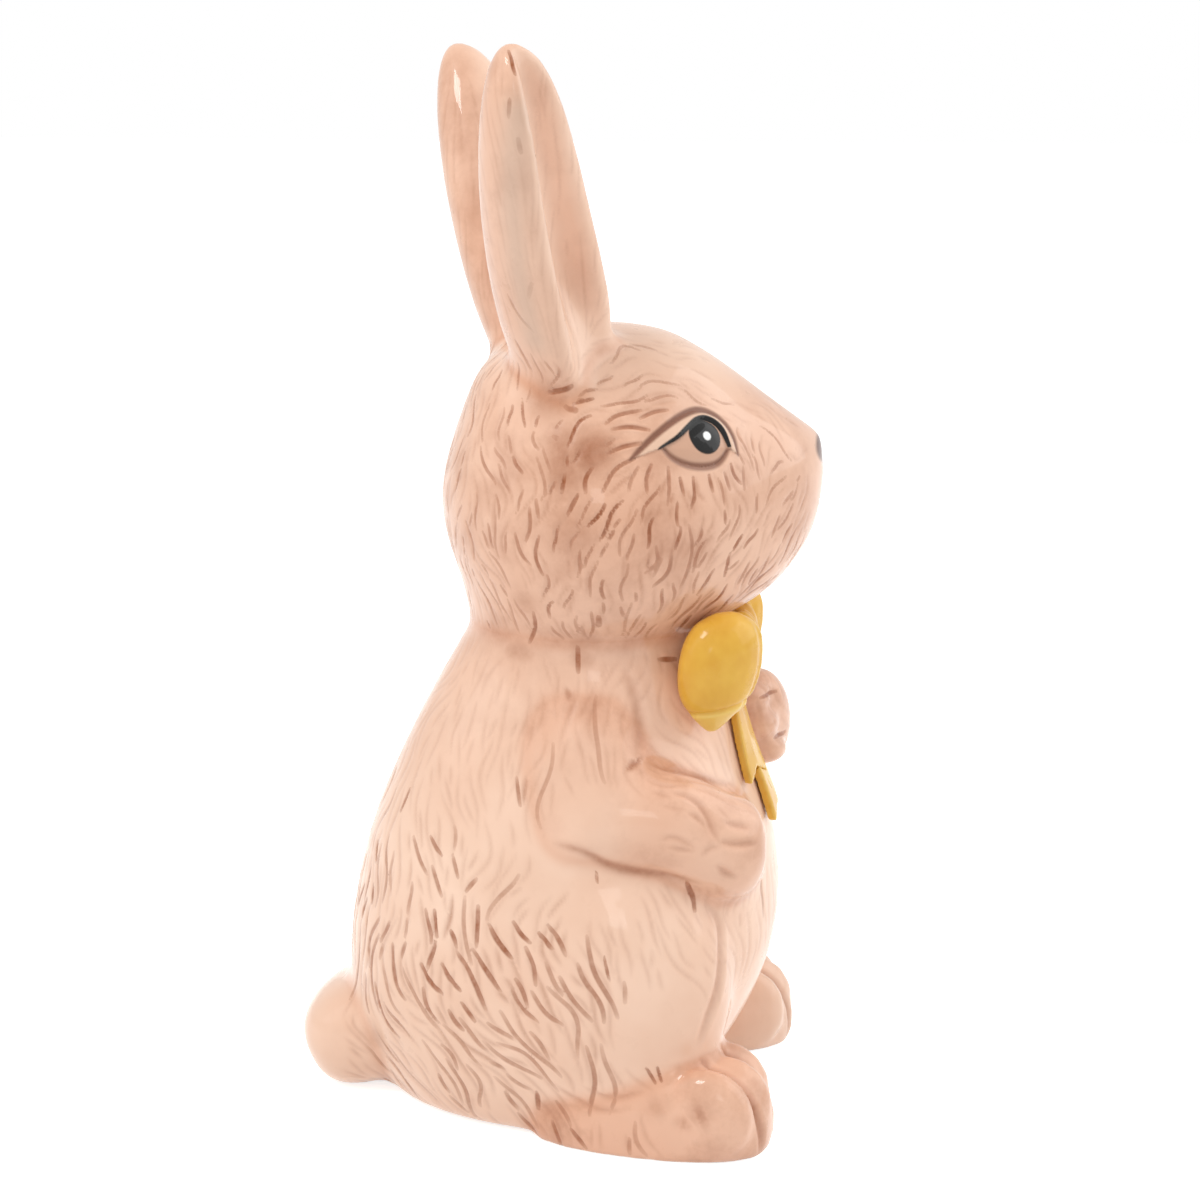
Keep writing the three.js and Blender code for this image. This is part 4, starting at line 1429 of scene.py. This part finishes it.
@dataclass(frozen=True)
class Eye:
    """Painted almond eye, laid out in millimetres on its own flat: u to the nose, v upwards."""

    centre: Point = (28.3, -20.2, 46.1)
    u: Point = (-0.244, -0.969, -0.037)
    v: Point = (-0.481, 0.0857, 0.873)
    iris: tuple[float, float] = (4.1, 4.1)
    spark: Point = (0.4, 0.0, 1.0)  # where it sits, and its radius
    reach: float = 26.0  # from the centre, within which points belong to the eye
    inner: float = 4.0  # least distance of those points from the middle of the head
    middle: tuple[float, float] = (-5.0, -0.5)  # of the area that fur keeps clear of
    radii: tuple[float, float] = (14.5, 8.6)  # of that area
    ball: tuple[float, float] = (0.45, 0.3)  # rise of the eyeball, and how deep its edge is set
    lid_rise: float = 0.45
    furrows: tuple[float, float] = (0.5, 0.35)  # depth of the creases above and below
    soft: float = 0.16  # blur of the brush
    upper: Sequence[tuple[float, float]] = (
        (-18.4, -4.0), (-13, 0.3), (-6.1, 4.6), (-1, 6.7),
        (2.2, 6.6), (5.6, 4.6), (7.8, 0.4), (8.6, -3.9),
    )
    liner: Sequence[tuple[float, float]] = (
        (-11.9, -2.4), (-9.5, -1.2), (-7, -0.1), (-3.9, 2.3),
        (-1.2, 4.3), (1.6, 4.7), (4.6, 2.6), (6.2, -2.2),
    )
    lower: Sequence[tuple[float, float]] = (
        (-10.9, -2.1), (-8.6, -5.0), (-4.5, -6.7), (0, -6.9), (3.4, -5.9), (6.1, -2.9)
    )
    ink: Colour = linear(16, 15, 14)
    lid: Colour = linear(232, 196, 170)
    white: Colour = linear(208, 164, 138)
    brown: Colour = linear(132, 86, 66)
    shine: Colour = linear(250, 250, 248)

    def spots(self, place: np.ndarray, side: Side) -> tuple[np.ndarray, np.ndarray]:
        """Lay points out on the eye's flat.

        Args:
            place: Points in the head's frame.
            side: Which eye.

        Returns:
            Flat places, and True for each point that belongs to the eye.
        """
        mirror = np.array((side.value, 1, 1))
        away = place - np.array(self.centre) * mirror
        u, v = (np.array(axis) * mirror for axis in (self.u, self.v))
        near = np.linalg.norm(away, axis=1) < self.reach
        near &= place[:, 0] * side.value > self.inner
        return np.stack([away @ u, away @ v], axis=1), near

    def covers(self, place: np.ndarray, grow: float = 1.0) -> np.ndarray:
        """Tell which points lie around an eye.

        Args:
            place: Points in the head's frame.
            grow: Size of the area.

        Returns:
            True for each point there.
        """
        around = np.zeros(len(place), bool)
        for side in Side:
            flat, near = self.spots(place, side)
            across, up = ((flat - np.array(self.middle)) / np.array(self.radii)).T
            around |= near & (np.hypot(across, up) < grow)
        return around

    def paint(self, skin: Skin, place: np.ndarray, side: Side) -> None:
        """Model the lids and paint the eye.

        Args:
            skin: Skin of the rabbit.
            place: Its points in the head's frame.
            side: Which eye.
        """
        flat, mine = self.spots(place, side)
        near = np.flatnonzero(mine)
        flat = flat[near]
        upper, liner, lower = (rounded(line) for line in (self.upper, self.liner, self.lower))
        opening = np.vstack([liner, lower[::-1]])
        within = inside(flat, opening)
        lidded = inside(flat, np.vstack([upper, lower[::-1]]))
        to_upper, along_upper = gap_to_line(flat, upper)
        to_liner, along_liner = gap_to_line(flat, liner)
        to_lower, along_lower = gap_to_line(flat, lower)
        edge = np.minimum(to_liner, to_lower)

        depth = np.zeros(len(place))
        rise, sunk = self.ball
        dome = np.where(within, rise * smooth(0, 3.5, edge) - sunk, 0)
        rim = np.where(lidded & ~within, self.lid_rise * smooth(0, 0.6, to_upper), 0)
        above, under = self.furrows
        crease = above * bell(to_upper, 0.8) * np.sin(np.pi * along_upper) ** 0.4
        pouch = under * bell(to_lower, 0.7) * np.sin(np.pi * along_lower) ** 0.4
        depth[near] = crease + pouch - dome - rim
        skin.press(depth)

        def brush(mask: np.ndarray, colour: Colour) -> None:
            """Paint the points near the eye."""
            cover = np.zeros(len(place))
            cover[near] = mask
            skin.brush(cover, colour)

        soft = self.soft
        brush(0.85 * np.where(lidded & ~within, smooth(0, 0.9, to_upper), 0), self.lid)
        brush(np.where(within, 0.9, 0), self.white)
        creases = (
            (1.0, 0.92, 0.45, to_upper, along_upper),
            (0.8, 0.85, 0.55, to_lower, along_lower),
        )
        for width, cover, blur, gap, along in creases:
            wide = width * np.sin(np.pi * np.clip(along, 0.03, 0.97)) ** 0.5
            brush(cover * smooth(wide + blur, wide - 0.35, gap), self.brown)
        iris = np.hypot(flat[:, 0] / self.iris[0], flat[:, 1] / self.iris[1])
        iris = smooth(1 + soft / 4, 1 - soft / 4, iris)
        brush(np.where(within | (to_liner < 0.3), iris, 0), self.ink)
        swell, thin = np.clip(2.6 * along_liner, 0, 1), np.clip(6 * (1 - along_liner), 0.3, 1)
        wide = 0.16 + 0.42 * swell * thin
        brush(smooth(wide + soft, wide - soft, to_liner), self.ink)
        spark = np.hypot(flat[:, 0] - self.spark[0], flat[:, 1] - self.spark[1])
        brush(smooth(self.spark[2] + soft, self.spark[2] - soft, spark), self.shine)


@dataclass
class HeadCoat:
    """Fur, eyes, nose and colours of the head and ears, in the head's own frame."""

    eye: Eye = Eye()
    furred: tuple[float, float] = (0.8, 66)  # heights between which the head is combed
    snout: float = -50.0  # before this, the nose stays smooth
    ear_span: tuple[float, float] = (62, 131)  # heights between which the ears are combed
    head_tint: float = 0.4
    cheek_tint: float = 0.28
    muzzle_tint: float = 0.1
    # brown along the head's underside, partly painted shade in the neck crease
    neck_wash_and_shade: float = 0.16
    ear_tint: float = 0.46
    ear_front_painted_light: float = 0.28  # tone missing where an ear faces forwards: painted light that pales the shaded cup
    ear_inner_painted_light: float = 0.22  # and in the half before its middle, pale for the same shade
    lies: Sequence[Lie] = tuple(
        Lie(*row)
        for row in (
            (6, 63, 190, 0.6, 0.12), (13, 64, 180, 0.5, 0.08), (2, 52, 200, 1, 0.5),
            (1, 48, 195, 1, 0.6), (0, 45, 212, 1, 0.7), (-4, 39, 236, 1, 0.8),
            (-8, 39, 255, 1, 0.7), (6, 37, 268, 1, 0.7), (12, 36, 272, 1, 0.75),
            (18, 35, 275, 1, 0.75), (28, 35, 282, 1, 0.5), (14, 25, 270, 1, 0.55),
            (11, 19, 265, 1, 0.5), (42, 25, 228, 1, 0.45), (37, 22, 240, 1, 0.5),
            (28, 17, 256, 1, 0.55), (18, 7, 232, 1, 0.4), (7, 14, 242, 1, 0.4),
            (0, 11, 265, 1, 0.35), (-7, 26, 250, 1, 0.5), (-18, 20, 278, 1, 0.42),
            (-11, 34, 250, 1, 0.7), (-14, 38, 255, 1, 0.7), (-20, 32, 260, 1, 0.42),
            (-20, 41, 280, 1, 0.36), (-29, 23, 280, 1, 0.36), (-25, 12, 295, 1, 0.4),
            (-30, 38, 268, 1, 0.3), (-23, 45, 260, 1, 0.3), (-19, 9, 285, 1, 0.42),
            (-11, 14, 272, 1, 0.4), (21, 30, 272, 1, 0.5), (31, 40, 300, 0.6, 0.25),
            (18, 57, 170, 0.35, 0.1), (31, 54, 150, 0.25, 0.1), (45, 46, 150, 0.3, 0.12),
            (52, 36, 240, 0.3, 0.15), (-12, 76, 280, 0.8, 0.25), (-16, 92, 278, 0.8, 0.25),
            (-20, 108, 275, 0.8, 0.25), (-24, 124, 272, 0.6, 0.25),
        )
    )
    cheeks: Sequence[Tooled] = (
        Tooled(((-33.5, -3.1, 42.7), (-34.3, 1.6, 40.9), (-35.7, 4.5, 35.9)), 0.65, 0.42, 0.75),
        Tooled(((-33.6, 6.1, 41.5), (-34.0, 8.3, 38.7), (-34.9, 8.2, 35.9)), 0.7, 0.45, 0.9),
        Tooled(((-32.2, 12.4, 39.8), (-33.1, 13.2, 35.8)), 0.75, 0.45, 1),
        Tooled(((-34.5, 9.9, 35.3), (-34.6, 12.3, 30.7)), 0.7, 0.45, 0.9),
        Tooled(((-31.8, 14.1, 38.6), (-31.9, 15.9, 35.1)), 0.6, 0.4, 0.7),
        Tooled(((-30.5, 18.6, 33.8), (-31.5, 18.2, 29.8)), 0.6, 0.35, 0.6),
        Tooled(((-29.9, 20.0, 32.0), (-30.5, 19.8, 27.3), (-29.5, 20.9, 24.2)), 0.6, 0.35, 0.7),
        Tooled(((-27.8, 22.9, 25.8), (-28.3, 21.8, 21.0), (-29.4, 19.7, 18.8)), 0.6, 0.35, 0.7),
        Tooled(((-13.9, 31.9, 26.6), (-15.9, 30.5, 22.0), (-14.5, 30.0, 17.5)), 0.6, 0.35, 0.6),
        Tooled(((-33.6, -10.9, 40.3), (-35.0, -10.9, 35.8), (-35.9, -10.4, 32.5)), 0.6, 0.4, 0.6),
        Tooled(
            ((-33.0, -16.8, 37.7), (-33.8, -17.2, 34.2), (-34.5, -16.1, 31.4)),
            0.65, 0.45, 0.85,
        ),
        Tooled(((-33.8, -13.6, 37.9), (-34.4, -14.3, 34.4)), 0.6, 0.4, 0.75),
        Tooled(((-31.7, -20.8, 37.9), (-32.3, -21.6, 34.4)), 0.6, 0.4, 0.75),
        Tooled(((-30.0, -24.9, 38.1), (-30.4, -26.0, 34.5)), 0.6, 0.4, 0.6),
        Tooled(((-27.5, -29.8, 38.7), (-28.6, -29.9, 34.1)), 0.6, 0.35, 0.5),
        Tooled(((-33.8, -6.9, 41.1), (-34.9, -5.5, 38.4), (-35.7, -5.6, 35.6)), 0.65, 0.45, 0.75),
        Tooled(((-34.2, -3.8, 40.7), (-35.3, -1.8, 38.0), (-36.0, -1.4, 35.8)), 0.6, 0.4, 0.5),
        Tooled(((-29.8, 2.6, 50.2), (-28.9, -0.2, 52.1), (-28.1, -5.8, 52.7)), 0.65, 0.42, 0.75),
        Tooled(((-30.6, 1.3, 49.1), (-30.2, -2.9, 49.5), (-30.4, -7.1, 48.6)), 0.65, 0.42, 0.75),
        Tooled(((-32.3, 3.5, 45.3), (-31.7, 1.0, 46.9)), 0.65, 0.4, 0.7),
        Tooled(((-29.1, -5.6, 51.1), (-27.8, -8.9, 52.3), (-27.0, -12.1, 52.4)), 0.6, 0.38, 0.65),
        Tooled(((-33.2, 4.3, 43.2), (-32.6, 0.0, 45.3), (-31.9, -5.0, 45.9)), 0.65, 0.42, 0.75),
        Tooled(
            ((-35.1, -15.4, 27.4), (-34.8, -16.5, 22.5), (-34.2, -15.7, 17.6),
             (-33.1, -13.9, 12.6)),
            0.6, 0.38, 0.6,
        ),
        Tooled(((-36.0, -11.3, 21.1), (-35.2, -10.9, 16.8), (-34.9, -7.4, 13.9)), 0.65, 0.4, 0.65),
        Tooled(((-30.7, -26.1, 19.5), (-29.7, -25.2, 14.5)), 0.65, 0.38, 0.8),
        Tooled(((-26.8, -31.8, 16.7), (-26.2, -29.3, 11.7)), 0.6, 0.38, 0.6),
        Tooled(((-36.3, -8.8, 20.1), (-35.7, -7.2, 16.5)), 0.6, 0.35, 0.5),
        Tooled(((-28.0, -17.7, 5.0), (-25.3, -15.3, 1.4)), 0.65, 0.35, 0.9),
        Tooled(((-22.8, -40.0, 26.6), (-24.1, -37.9, 22.0)), 0.6, 0.3, 0.6),
        Tooled(((-19.6, -44.0, 31.4), (-22.2, -40.8, 28.9)), 0.6, 0.3, 0.5),
        Tooled(((-36.7, -7.5, 23.2), (-36.2, -8.3, 19.5), (-36.1, -5.3, 17.2)), 0.6, 0.35, 0.55),
    )
    marks: Sequence[Tooled] = (
        Tooled(((-23.2, 13.8, 56.7), (-25.6, 11.6, 57.6), (-27.5, 9.6, 58.1)), 0.9, 0.45, 1),
        Tooled(((-19.3, 19.4, 54.6), (-21.3, 19.7, 51.3), (-23.0, 19.5, 49.2)), 0.5, 0.08, 0.75),
        Tooled(((-26.0, 10.5, 53.5), (-26.9, 8.9, 53.0)), 1.1, 0.04, 0.7),
        Tooled(((-28.0, 13.9, 47.4), (-28.6, 13.1, 46.9)), 0.9, 0.04, 0.7),
        Tooled(((0.0, -57.0, 34.6), (0.0, -56.6, 29.0)), 0.6, 0.3, 0.4, False),
        Tooled(((-0.8, -56.5, 28.4), (-4.0, -55.6, 26.4), (-8.0, -53.7, 26.8)), 0.6, 0.3, 0.35),
        Tooled(((-32.2, 4.7, 6.6), (-31.1, 4.4, 4.6)), 1.0, 0.25, 0.75),
        Tooled(((-25.5, 18.4, 7.0), (-24.5, 17.6, 3.7), (-20.8, 18.1, -0.8)), 0.7, 0.3, 0.9),
        Tooled(((-37.9, 24.5, 131.7), (-39.8, 24.6, 128.6), (-40.8, 24.0, 126.6)), 0.6, 0.25, 1),
        Tooled(((-40.1, 25.4, 121.0), (-39.6, 25.5, 117.4)), 0.65, 0.15, 0.9),
        Tooled(((-40.2, 23.7, 112.7), (-40.0, 23.2, 110.1)), 0.7, 0.15, 0.75),
        Tooled(((-25.8, 23.8, 78.4), (-26.2, 21.7, 74.6), (-28.3, 18.2, 70.9)), 0.55, 0.25, 0.55),
        Tooled(((-31.0, 19.8, 78.8), (-32.7, 19.3, 81.7)), 0.8, 0.15, 0.4),
        Tooled(((-21.6, 21.4, 68.1), (-21.9, 19.3, 64.2), (-21.9, 17.6, 61.4)), 0.6, 0.3, 0.55),
    )
    smudges: Sequence[Tooled] = (
        Tooled(((-20.0, 18.4, 55.0), (-26.6, 9.9, 55.2)), 5.0, 0.0, 0.5),
        Tooled(((-31.4, 12.1, 42.2), (-32.2, 6.6, 44.3), (-31.8, 0.9, 46.8)), 5.5, 0.0, 0.74),
        Tooled(((-26.5, 12.4, 51.0), (-30.9, 12.5, 42.5), (-34.0, 12.8, 33.0)), 4.6, 0.0, 0.6),
        Tooled(((-21.7, -40.1, 37.0), (-26.9, -34.0, 26.5)), 7.0, 0.0, 0.12),
        Tooled(((-32.5, 16.9, 29.5), (-35.3, 11.4, 26.5), (-36.9, 5.4, 24.3)), 7.5, 0.0, 0.4),
        Tooled(((-37.3, -1.8, 27.9), (-36.7, -8.3, 26.6)), 5.0, 0.0, 0.22),
        Tooled(((-24.8, 21.6, 12.3), (-24.9, 18.9, 6.5)), 3.5, 0.0, 0.35),
        Tooled(((-12.9, 32.3, 25.5), (-14.8, 30.8, 21.1)), 4.0, 0.0, 0.25),
    )
    ear_middle: Sequence[Point] = (
        (-41.2, 24.6, 118), (-36.2, 24.4, 99.8), (-31.1, 21.9, 82.3), (-28, 18, 68.9)
    )
    ear_grey: Colour = linear(210, 181, 160)
    grey_cover: float = 0.65
    grey_width: float = 4.0  # on each side of the middle
    nose: tuple[float, float] = (9.0, 3.8)  # half its width and height
    nose_up: float = 38.6
    nose_brown: Colour = linear(112, 78, 66)

    def refine(self, skin: Skin) -> Skin:
        """Make the mesh finer around the eyes.

        Args:
            skin: The softened skin.

        Returns:
            A new skin with more points there.
        """
        near = self.eye.covers(skin.seen_from(HEAD_HOME), 1.1)
        skin.update()
        shape = opened(skin.mesh)
        edges = [edge for edge in shape.edges if all(near[vert.index] for vert in edge.verts)]
        bmesh.ops.subdivide_edges(shape, edges=edges, cuts=2, use_grid_fill=True, smooth=0.0)
        return Skin(written(shape, skin.mesh))

    def carve(self, skin: Skin) -> None:
        """Cut the fur and model the eyes.

        Args:
            skin: The refined skin.
        """
        tree = skin.tree()
        into = HEAD_HOME.inverted()
        fine, bold = Grooves(), Grooves.inked()
        for line in (*self.cheeks, *self.marks):
            line.lay(tree, HEAD_HOME, bold)
        for line in self.smudges:
            soft = Grooves()
            line.lay(tree, HEAD_HOME, soft)
            soft.cut(skin, 16)

        def bare(place: Vector) -> bool:
            """Keep the eyes, the nose and the ears smooth."""
            spot = into @ place
            low, high = self.furred
            if spot.z < low or spot.z > high or spot.y < self.snout:
                return True
            return bool(self.eye.covers(np.array([spot]))[0])

        def below_ears(place: Vector) -> bool:
            """Keep all but the ears as they are."""
            low, high = self.ear_span
            return not low < (into @ place).z < high

        under = Fur(
            self.lies, HEAD_HOME, seed=5, tries=18000, spacing=1.9, lengths=(5, 18),
            width=0.5, depth=0.26, wash=0.55, reach=6, ripple=0.08,
        )
        over = Fur(
            self.lies, HEAD_HOME, seed=6, tries=13000, spacing=2.1, lengths=(4.5, 13),
            width=0.54, depth=0.5, wash=1.2, pick=0.8, reach=6, ripple=0.08,
        )
        ears = Fur(
            self.lies, HEAD_HOME, seed=7, tries=7000, spacing=1.6, lengths=(8, 34),
            width=0.4, depth=0.08, wash=0.45, reach=6, wave=14,
        )
        layers = ((under, bare, fine), (over, bare, bold), (ears, below_ears, fine))
        for fur, smooth_parts, grooves in layers:
            log.info("head strokes: %d", fur.comb(skin, smooth_parts, grooves))
        fine.cut(skin)
        bold.cut(skin)
        place = skin.seen_from(HEAD_HOME)
        for side in Side:
            self.eye.paint(skin, place, side)

    def colour(self, skin: Skin, casting: Casting) -> None:
        """Tint the cheeks, the muzzle, the ears and the nose.

        Args:
            skin: The carved skin.
            casting: The castings under it.
        """
        place = skin.seen_from(HEAD_HOME)
        x, y, z = place.T
        head = z > 0
        cheek = bell(y + 2, 22) * bell(z - 28, 18)
        muzzle = smooth(-20, -40, y) * smooth(58, 44, z)
        tint = self.head_tint * smooth(66, 50, z)
        tint += self.cheek_tint * cheek + self.muzzle_tint * muzzle
        skin.tone += np.where(head, tint, 0)
        # Brown along the head's underside: partly wash, partly painted shade in the neck crease.
        skin.stain(np.where(head, self.neck_wash_and_shade * bell(z, 4), 0))
        ears = np.isin(casting.owner, casting.numbers("ear"))
        front = -skin.normals() @ np.array(HEAD_HOME.to_3x3() @ Vector((0, 1, 0)))
        depth, height = np.array(self.ear_middle)[::-1, 1:].T
        inner = smooth(0, 5, np.interp(z, height, depth) - y)
        # Painted light: the cup of each ear is paler to make up for the shade inside it.
        tone = self.ear_tint - self.ear_front_painted_light * smooth(0.1, 0.7, front)
        tone -= self.ear_inner_painted_light * inner
        skin.tone += skin.spread(np.where(ears, tone, 0), 0.5, 6)
        for side in Side:
            middle = np.array(self.ear_middle) * np.array((-side.value, 1, 1))
            gap, _ = gap_to_line(place, middle)
            skin.brush(self.grey_cover * bell(gap, self.grey_width), self.ear_grey)
        wide, high = self.nose
        nose = np.hypot(x / wide, (z - self.nose_up) / high)
        skin.brush(np.where(y < -45, smooth(1.1, 0.85, nose), 0), self.nose_brown)


# ---- the bow


@dataclass
class Bow:
    """Yellow bow at the chin: knot, two loops and two swallow-tailed ribbons."""

    home: Matrix
    pitch: float = 0.45
    turn: float = 20.0  # degrees from the tip of a loop to the middle of its outside
    flap: float = 5.5  # height of the turned-up tip
    fold_depth: float = 0.45  # of the crease at that tip
    bead: tuple[float, float] = (66, 0.45)  # degrees from the outside to the bead, and its height
    gutter: tuple[float, float] = (48, 0.3)  # and the same for the depth beside it
    bead_width: float = 9.0  # degrees
    gathers: tuple[float, ...] = (-3.3, 0.3, 3.6)  # where the knot is drawn in, across it
    gather_depth: float = 0.45
    gather_width: float = 0.9
    rounds: dict[str, int] = field(
        default_factory=lambda: {
            "bow_knot": 14,
            "bow_right_loop": 22,
            "bow_left_loop": 22,
            "bow_right_ribbon": 4,
            "bow_left_ribbon": 4,
        }
    )

    def build(self, nodes: dict[str, Object]) -> list[Object]:
        """Model every piece of the bow, one per solid."""
        return [self.modelled(nodes[name], rounds) for name, rounds in self.rounds.items()]

    def modelled(self, node: Object, rounds: int) -> Object:
        """Melt a solid into a soft form with folds.

        Args:
            node: The CAD solid.
            rounds: How much it is softened.

        Returns:
            The softened piece.
        """
        shape = opened(node.data)
        bmesh.ops.remove_doubles(shape, verts=shape.verts, dist=MM * MM)
        shape.transform(self.home.inverted())
        skin = Skin(melted(node.name, written(shape, node.name), self.pitch))
        skin.ease(0.5, rounds)
        if "loop" in node.name:
            self.fold(skin, Side.RIGHT if "right" in node.name else Side.LEFT)
        elif "knot" in node.name:
            self.gather(skin)
        skin.stain(0.6 * smooth(0.05, 0.6, skin.hollows(16)))
        # Paler on raised edges and beads: partly thinned glaze, partly a painted highlight.
        skin.tone += 0.7 * smooth(0.03, 0.3, -skin.hollows(10))
        skin.store()
        skin.mesh.attributes.remove(skin.mesh.attributes["facing"])
        skin.mesh.transform(self.home)
        skin.mesh.polygons.foreach_set("use_smooth", [True] * len(skin.mesh.polygons))
        return linked(f"{node.name}_glazed", skin.mesh)

    def fold(self, skin: Skin, side: Side) -> None:
        """Turn up the tip of a loop and bead its front edge.

        Args:
            skin: The loop.
            side: Its side of the bow.
        """
        tip = skin.place[skin.place[:, 2].argmin()]
        out = Vector((tip[0], tip[1], 0)).normalized()
        out.rotate(Matrix.Rotation(math.radians(side.value * self.turn), 3, "Z"))
        front = Vector((0, 0, -side.value)).cross(out)
        normals = skin.normals()
        height = skin.place[:, 2] - tip[2]
        across = (skin.place - tip) @ np.array(front)
        facing = np.degrees(np.arctan2(normals @ np.array(front), normals @ np.array(out)))
        outer = smooth(110, 80, np.abs(facing))
        line = height - self.flap - 0.15 * across
        crease = bell(line, 0.55) - 0.7 * smooth(0.4, -0.6, line)
        span = smooth(2, 6, height) * smooth(26, 21, height)
        (bead_at, rise), (gutter_at, fall) = self.bead, self.gutter
        rim = rise * bell(facing - bead_at, self.bead_width)
        rim -= fall * bell(facing - gutter_at, self.bead_width)
        skin.press(outer * (self.fold_depth * crease - span * rim))
        skin.tone += 0.6 * outer * smooth(0.2, -0.8, line)

    def gather(self, skin: Skin) -> None:
        """Cut the gathers down the knot.

        Args:
            skin: The knot.
        """
        across = skin.place[:, 0] - skin.place[:, 0].mean()
        depth = sum(bell(across - at, self.gather_width) for at in self.gathers)
        skin.press(self.gather_depth * depth)


# ---- the studio


@dataclass(frozen=True)
class Lamp:
    """Soft box that looks at the figure: its place, its side in metres and its power in watts."""

    name: str
    place: Point
    size: float
    power: float


@dataclass
class Studio:
    """Pale floor, soft lights and the camera."""

    neck: Vector
    eye: Point = (-0.59416, -0.0835, 0.25)
    target: Point = (0.0, -0.0026, 0.1207)
    lens: float = 77.91
    sensor: float = 36.0
    floor_size: float = 6.0
    paper: Colour = (0.9, 0.9, 0.9, 1)
    floor_glow: float = 0.72
    room_light: float = 0.58  # what the room adds to the lamps; it looks white itself
    middle: Point = (0, 0, 0.12)  # where the lamps are turned to
    lamps: Sequence[Lamp] = (
        Lamp("overhead", (-0.66, 0.54, 1.25), 0.37, 7.4),
        Lamp("beside", (-1.25, -0.25, 0.5), 0.26, 0.7),
        Lamp("behind", (-0.4, 1.3, 0.8), 0.8, 1.6),
        Lamp("front", (0.3, -1.25, 0.85), 1.3, 9.0),
    )

    def build(self) -> None:
        """Set up everything around the figure."""
        self.floor()
        self.world()
        for lamp in self.lamps:
            self.light(lamp)
        self.camera()

    def floor(self) -> None:
        """Lay the floor, white in view, with the figure's shadow on it."""
        shape = bmesh.new()
        bmesh.ops.create_grid(shape, x_segments=1, y_segments=1, size=self.floor_size)
        floor = linked("floor", written(shape, "floor"))
        recipe = Recipe(bpy.data.materials.new("white_floor"))
        paper = recipe.add("ShaderNodeBsdfDiffuse", {"Color": self.paper})
        glow = recipe.add("ShaderNodeEmission")
        strength = recipe.maths("MULTIPLY", recipe.in_view(), self.floor_glow)
        recipe.join(strength, glow.inputs["Strength"])
        both = recipe.add("ShaderNodeAddShader")
        recipe.join(paper.outputs[0], both.inputs[0])
        recipe.join(glow.outputs[0], both.inputs[1])
        recipe.surface(both.outputs[0])
        floor.data.materials.append(recipe.owner)

    def world(self) -> None:
        """Surround the figure with even white."""
        world = bpy.data.worlds.new("white_room")
        bpy.context.scene.world = world
        recipe = Recipe(world)
        light = recipe.add("ShaderNodeBackground", {"Color": (1, 1, 1, 1)})
        level = recipe.mapped(recipe.in_view(), 0, 1, self.room_light, 1)
        recipe.join(level, light.inputs["Strength"])
        recipe.surface(light.outputs["Background"], "ShaderNodeOutputWorld")

    @staticmethod
    def aimed(name: str, data: ID, place: Vector, aim: Vector) -> Object:
        """Stand a lamp or the camera somewhere.

        Args:
            name: Name of the object.
            data: The lamp or camera.
            place: Where it stands.
            aim: Which way it looks.

        Returns:
            The object.
        """
        made = linked(name, data)
        made.location = place
        made.rotation_euler = aim.to_track_quat("-Z", "Y").to_euler()
        return made

    def light(self, lamp: Lamp) -> None:
        """Add a lamp, turned to the middle of the figure.

        Args:
            lamp: The lamp.
        """
        data = bpy.data.lights.new(lamp.name, "AREA")
        data.shape = "SQUARE"
        data.size = lamp.size
        data.energy = lamp.power
        place = Vector(lamp.place)
        self.aimed(lamp.name, data, place, Vector(self.middle) - place)

    def camera(self) -> None:
        """Stand the camera where the photograph was taken."""
        data = bpy.data.cameras.new("camera")
        data.sensor_width = self.sensor
        data.lens = self.lens
        eye = Vector(self.eye)
        aim = Vector(self.target) - eye
        bpy.context.scene.camera = self.aimed("camera", data, eye + self.neck, aim)
        bpy.context.scene.view_settings.view_transform = "Standard"


# ---- assembly


def dressed(piece: Object, material: Material) -> None:
    """Glaze a piece and tie it to the solid it stands for.

    Args:
        piece: Piece named after its solid.
        material: Material of the glaze.
    """
    piece.data.materials.clear()
    piece.data.materials.append(material)
    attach(piece, "root")
    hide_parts(piece.name.removesuffix("_glazed"))
    count = sum(len(face.vertices) - 2 for face in piece.data.polygons)
    log.info("%s: %d triangles", piece.name, count)


def main() -> None:
    """Build the figure piece by piece."""
    logging.basicConfig(level=logging.INFO, format="%(asctime)s %(name)s: %(message)s")
    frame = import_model()
    nodes = frame["nodes"]
    neck = Vector((0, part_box("body_shell")[0].y + BODY_FRONT * MM, 0))
    upright = Matrix.Translation(neck) @ Matrix.Scale(MM, 4)

    casting, body, head = Casting(upright), BodyCoat(), HeadCoat()
    shells = search_tree(*(nodes[name].data for name in ("body_shell", "head_shell")))
    skin = casting.fuse(nodes, shells)
    casting.share_out(skin, nodes)
    casting.soften(skin)
    skin = head.refine(skin)
    casting.share_out(skin, nodes)
    body.carve(skin)
    head.carve(skin)
    casting.pool(skin)
    body.colour(skin, casting)
    head.colour(skin, casting)
    pink = PinkGlaze().material()
    for piece in casting.split(skin):
        dressed(piece, pink)

    yellow = YellowGlaze().material()
    for piece in Bow(upright).build(nodes):
        dressed(piece, yellow)

    Studio(neck).build()


if __name__ == "__main__":
    main()
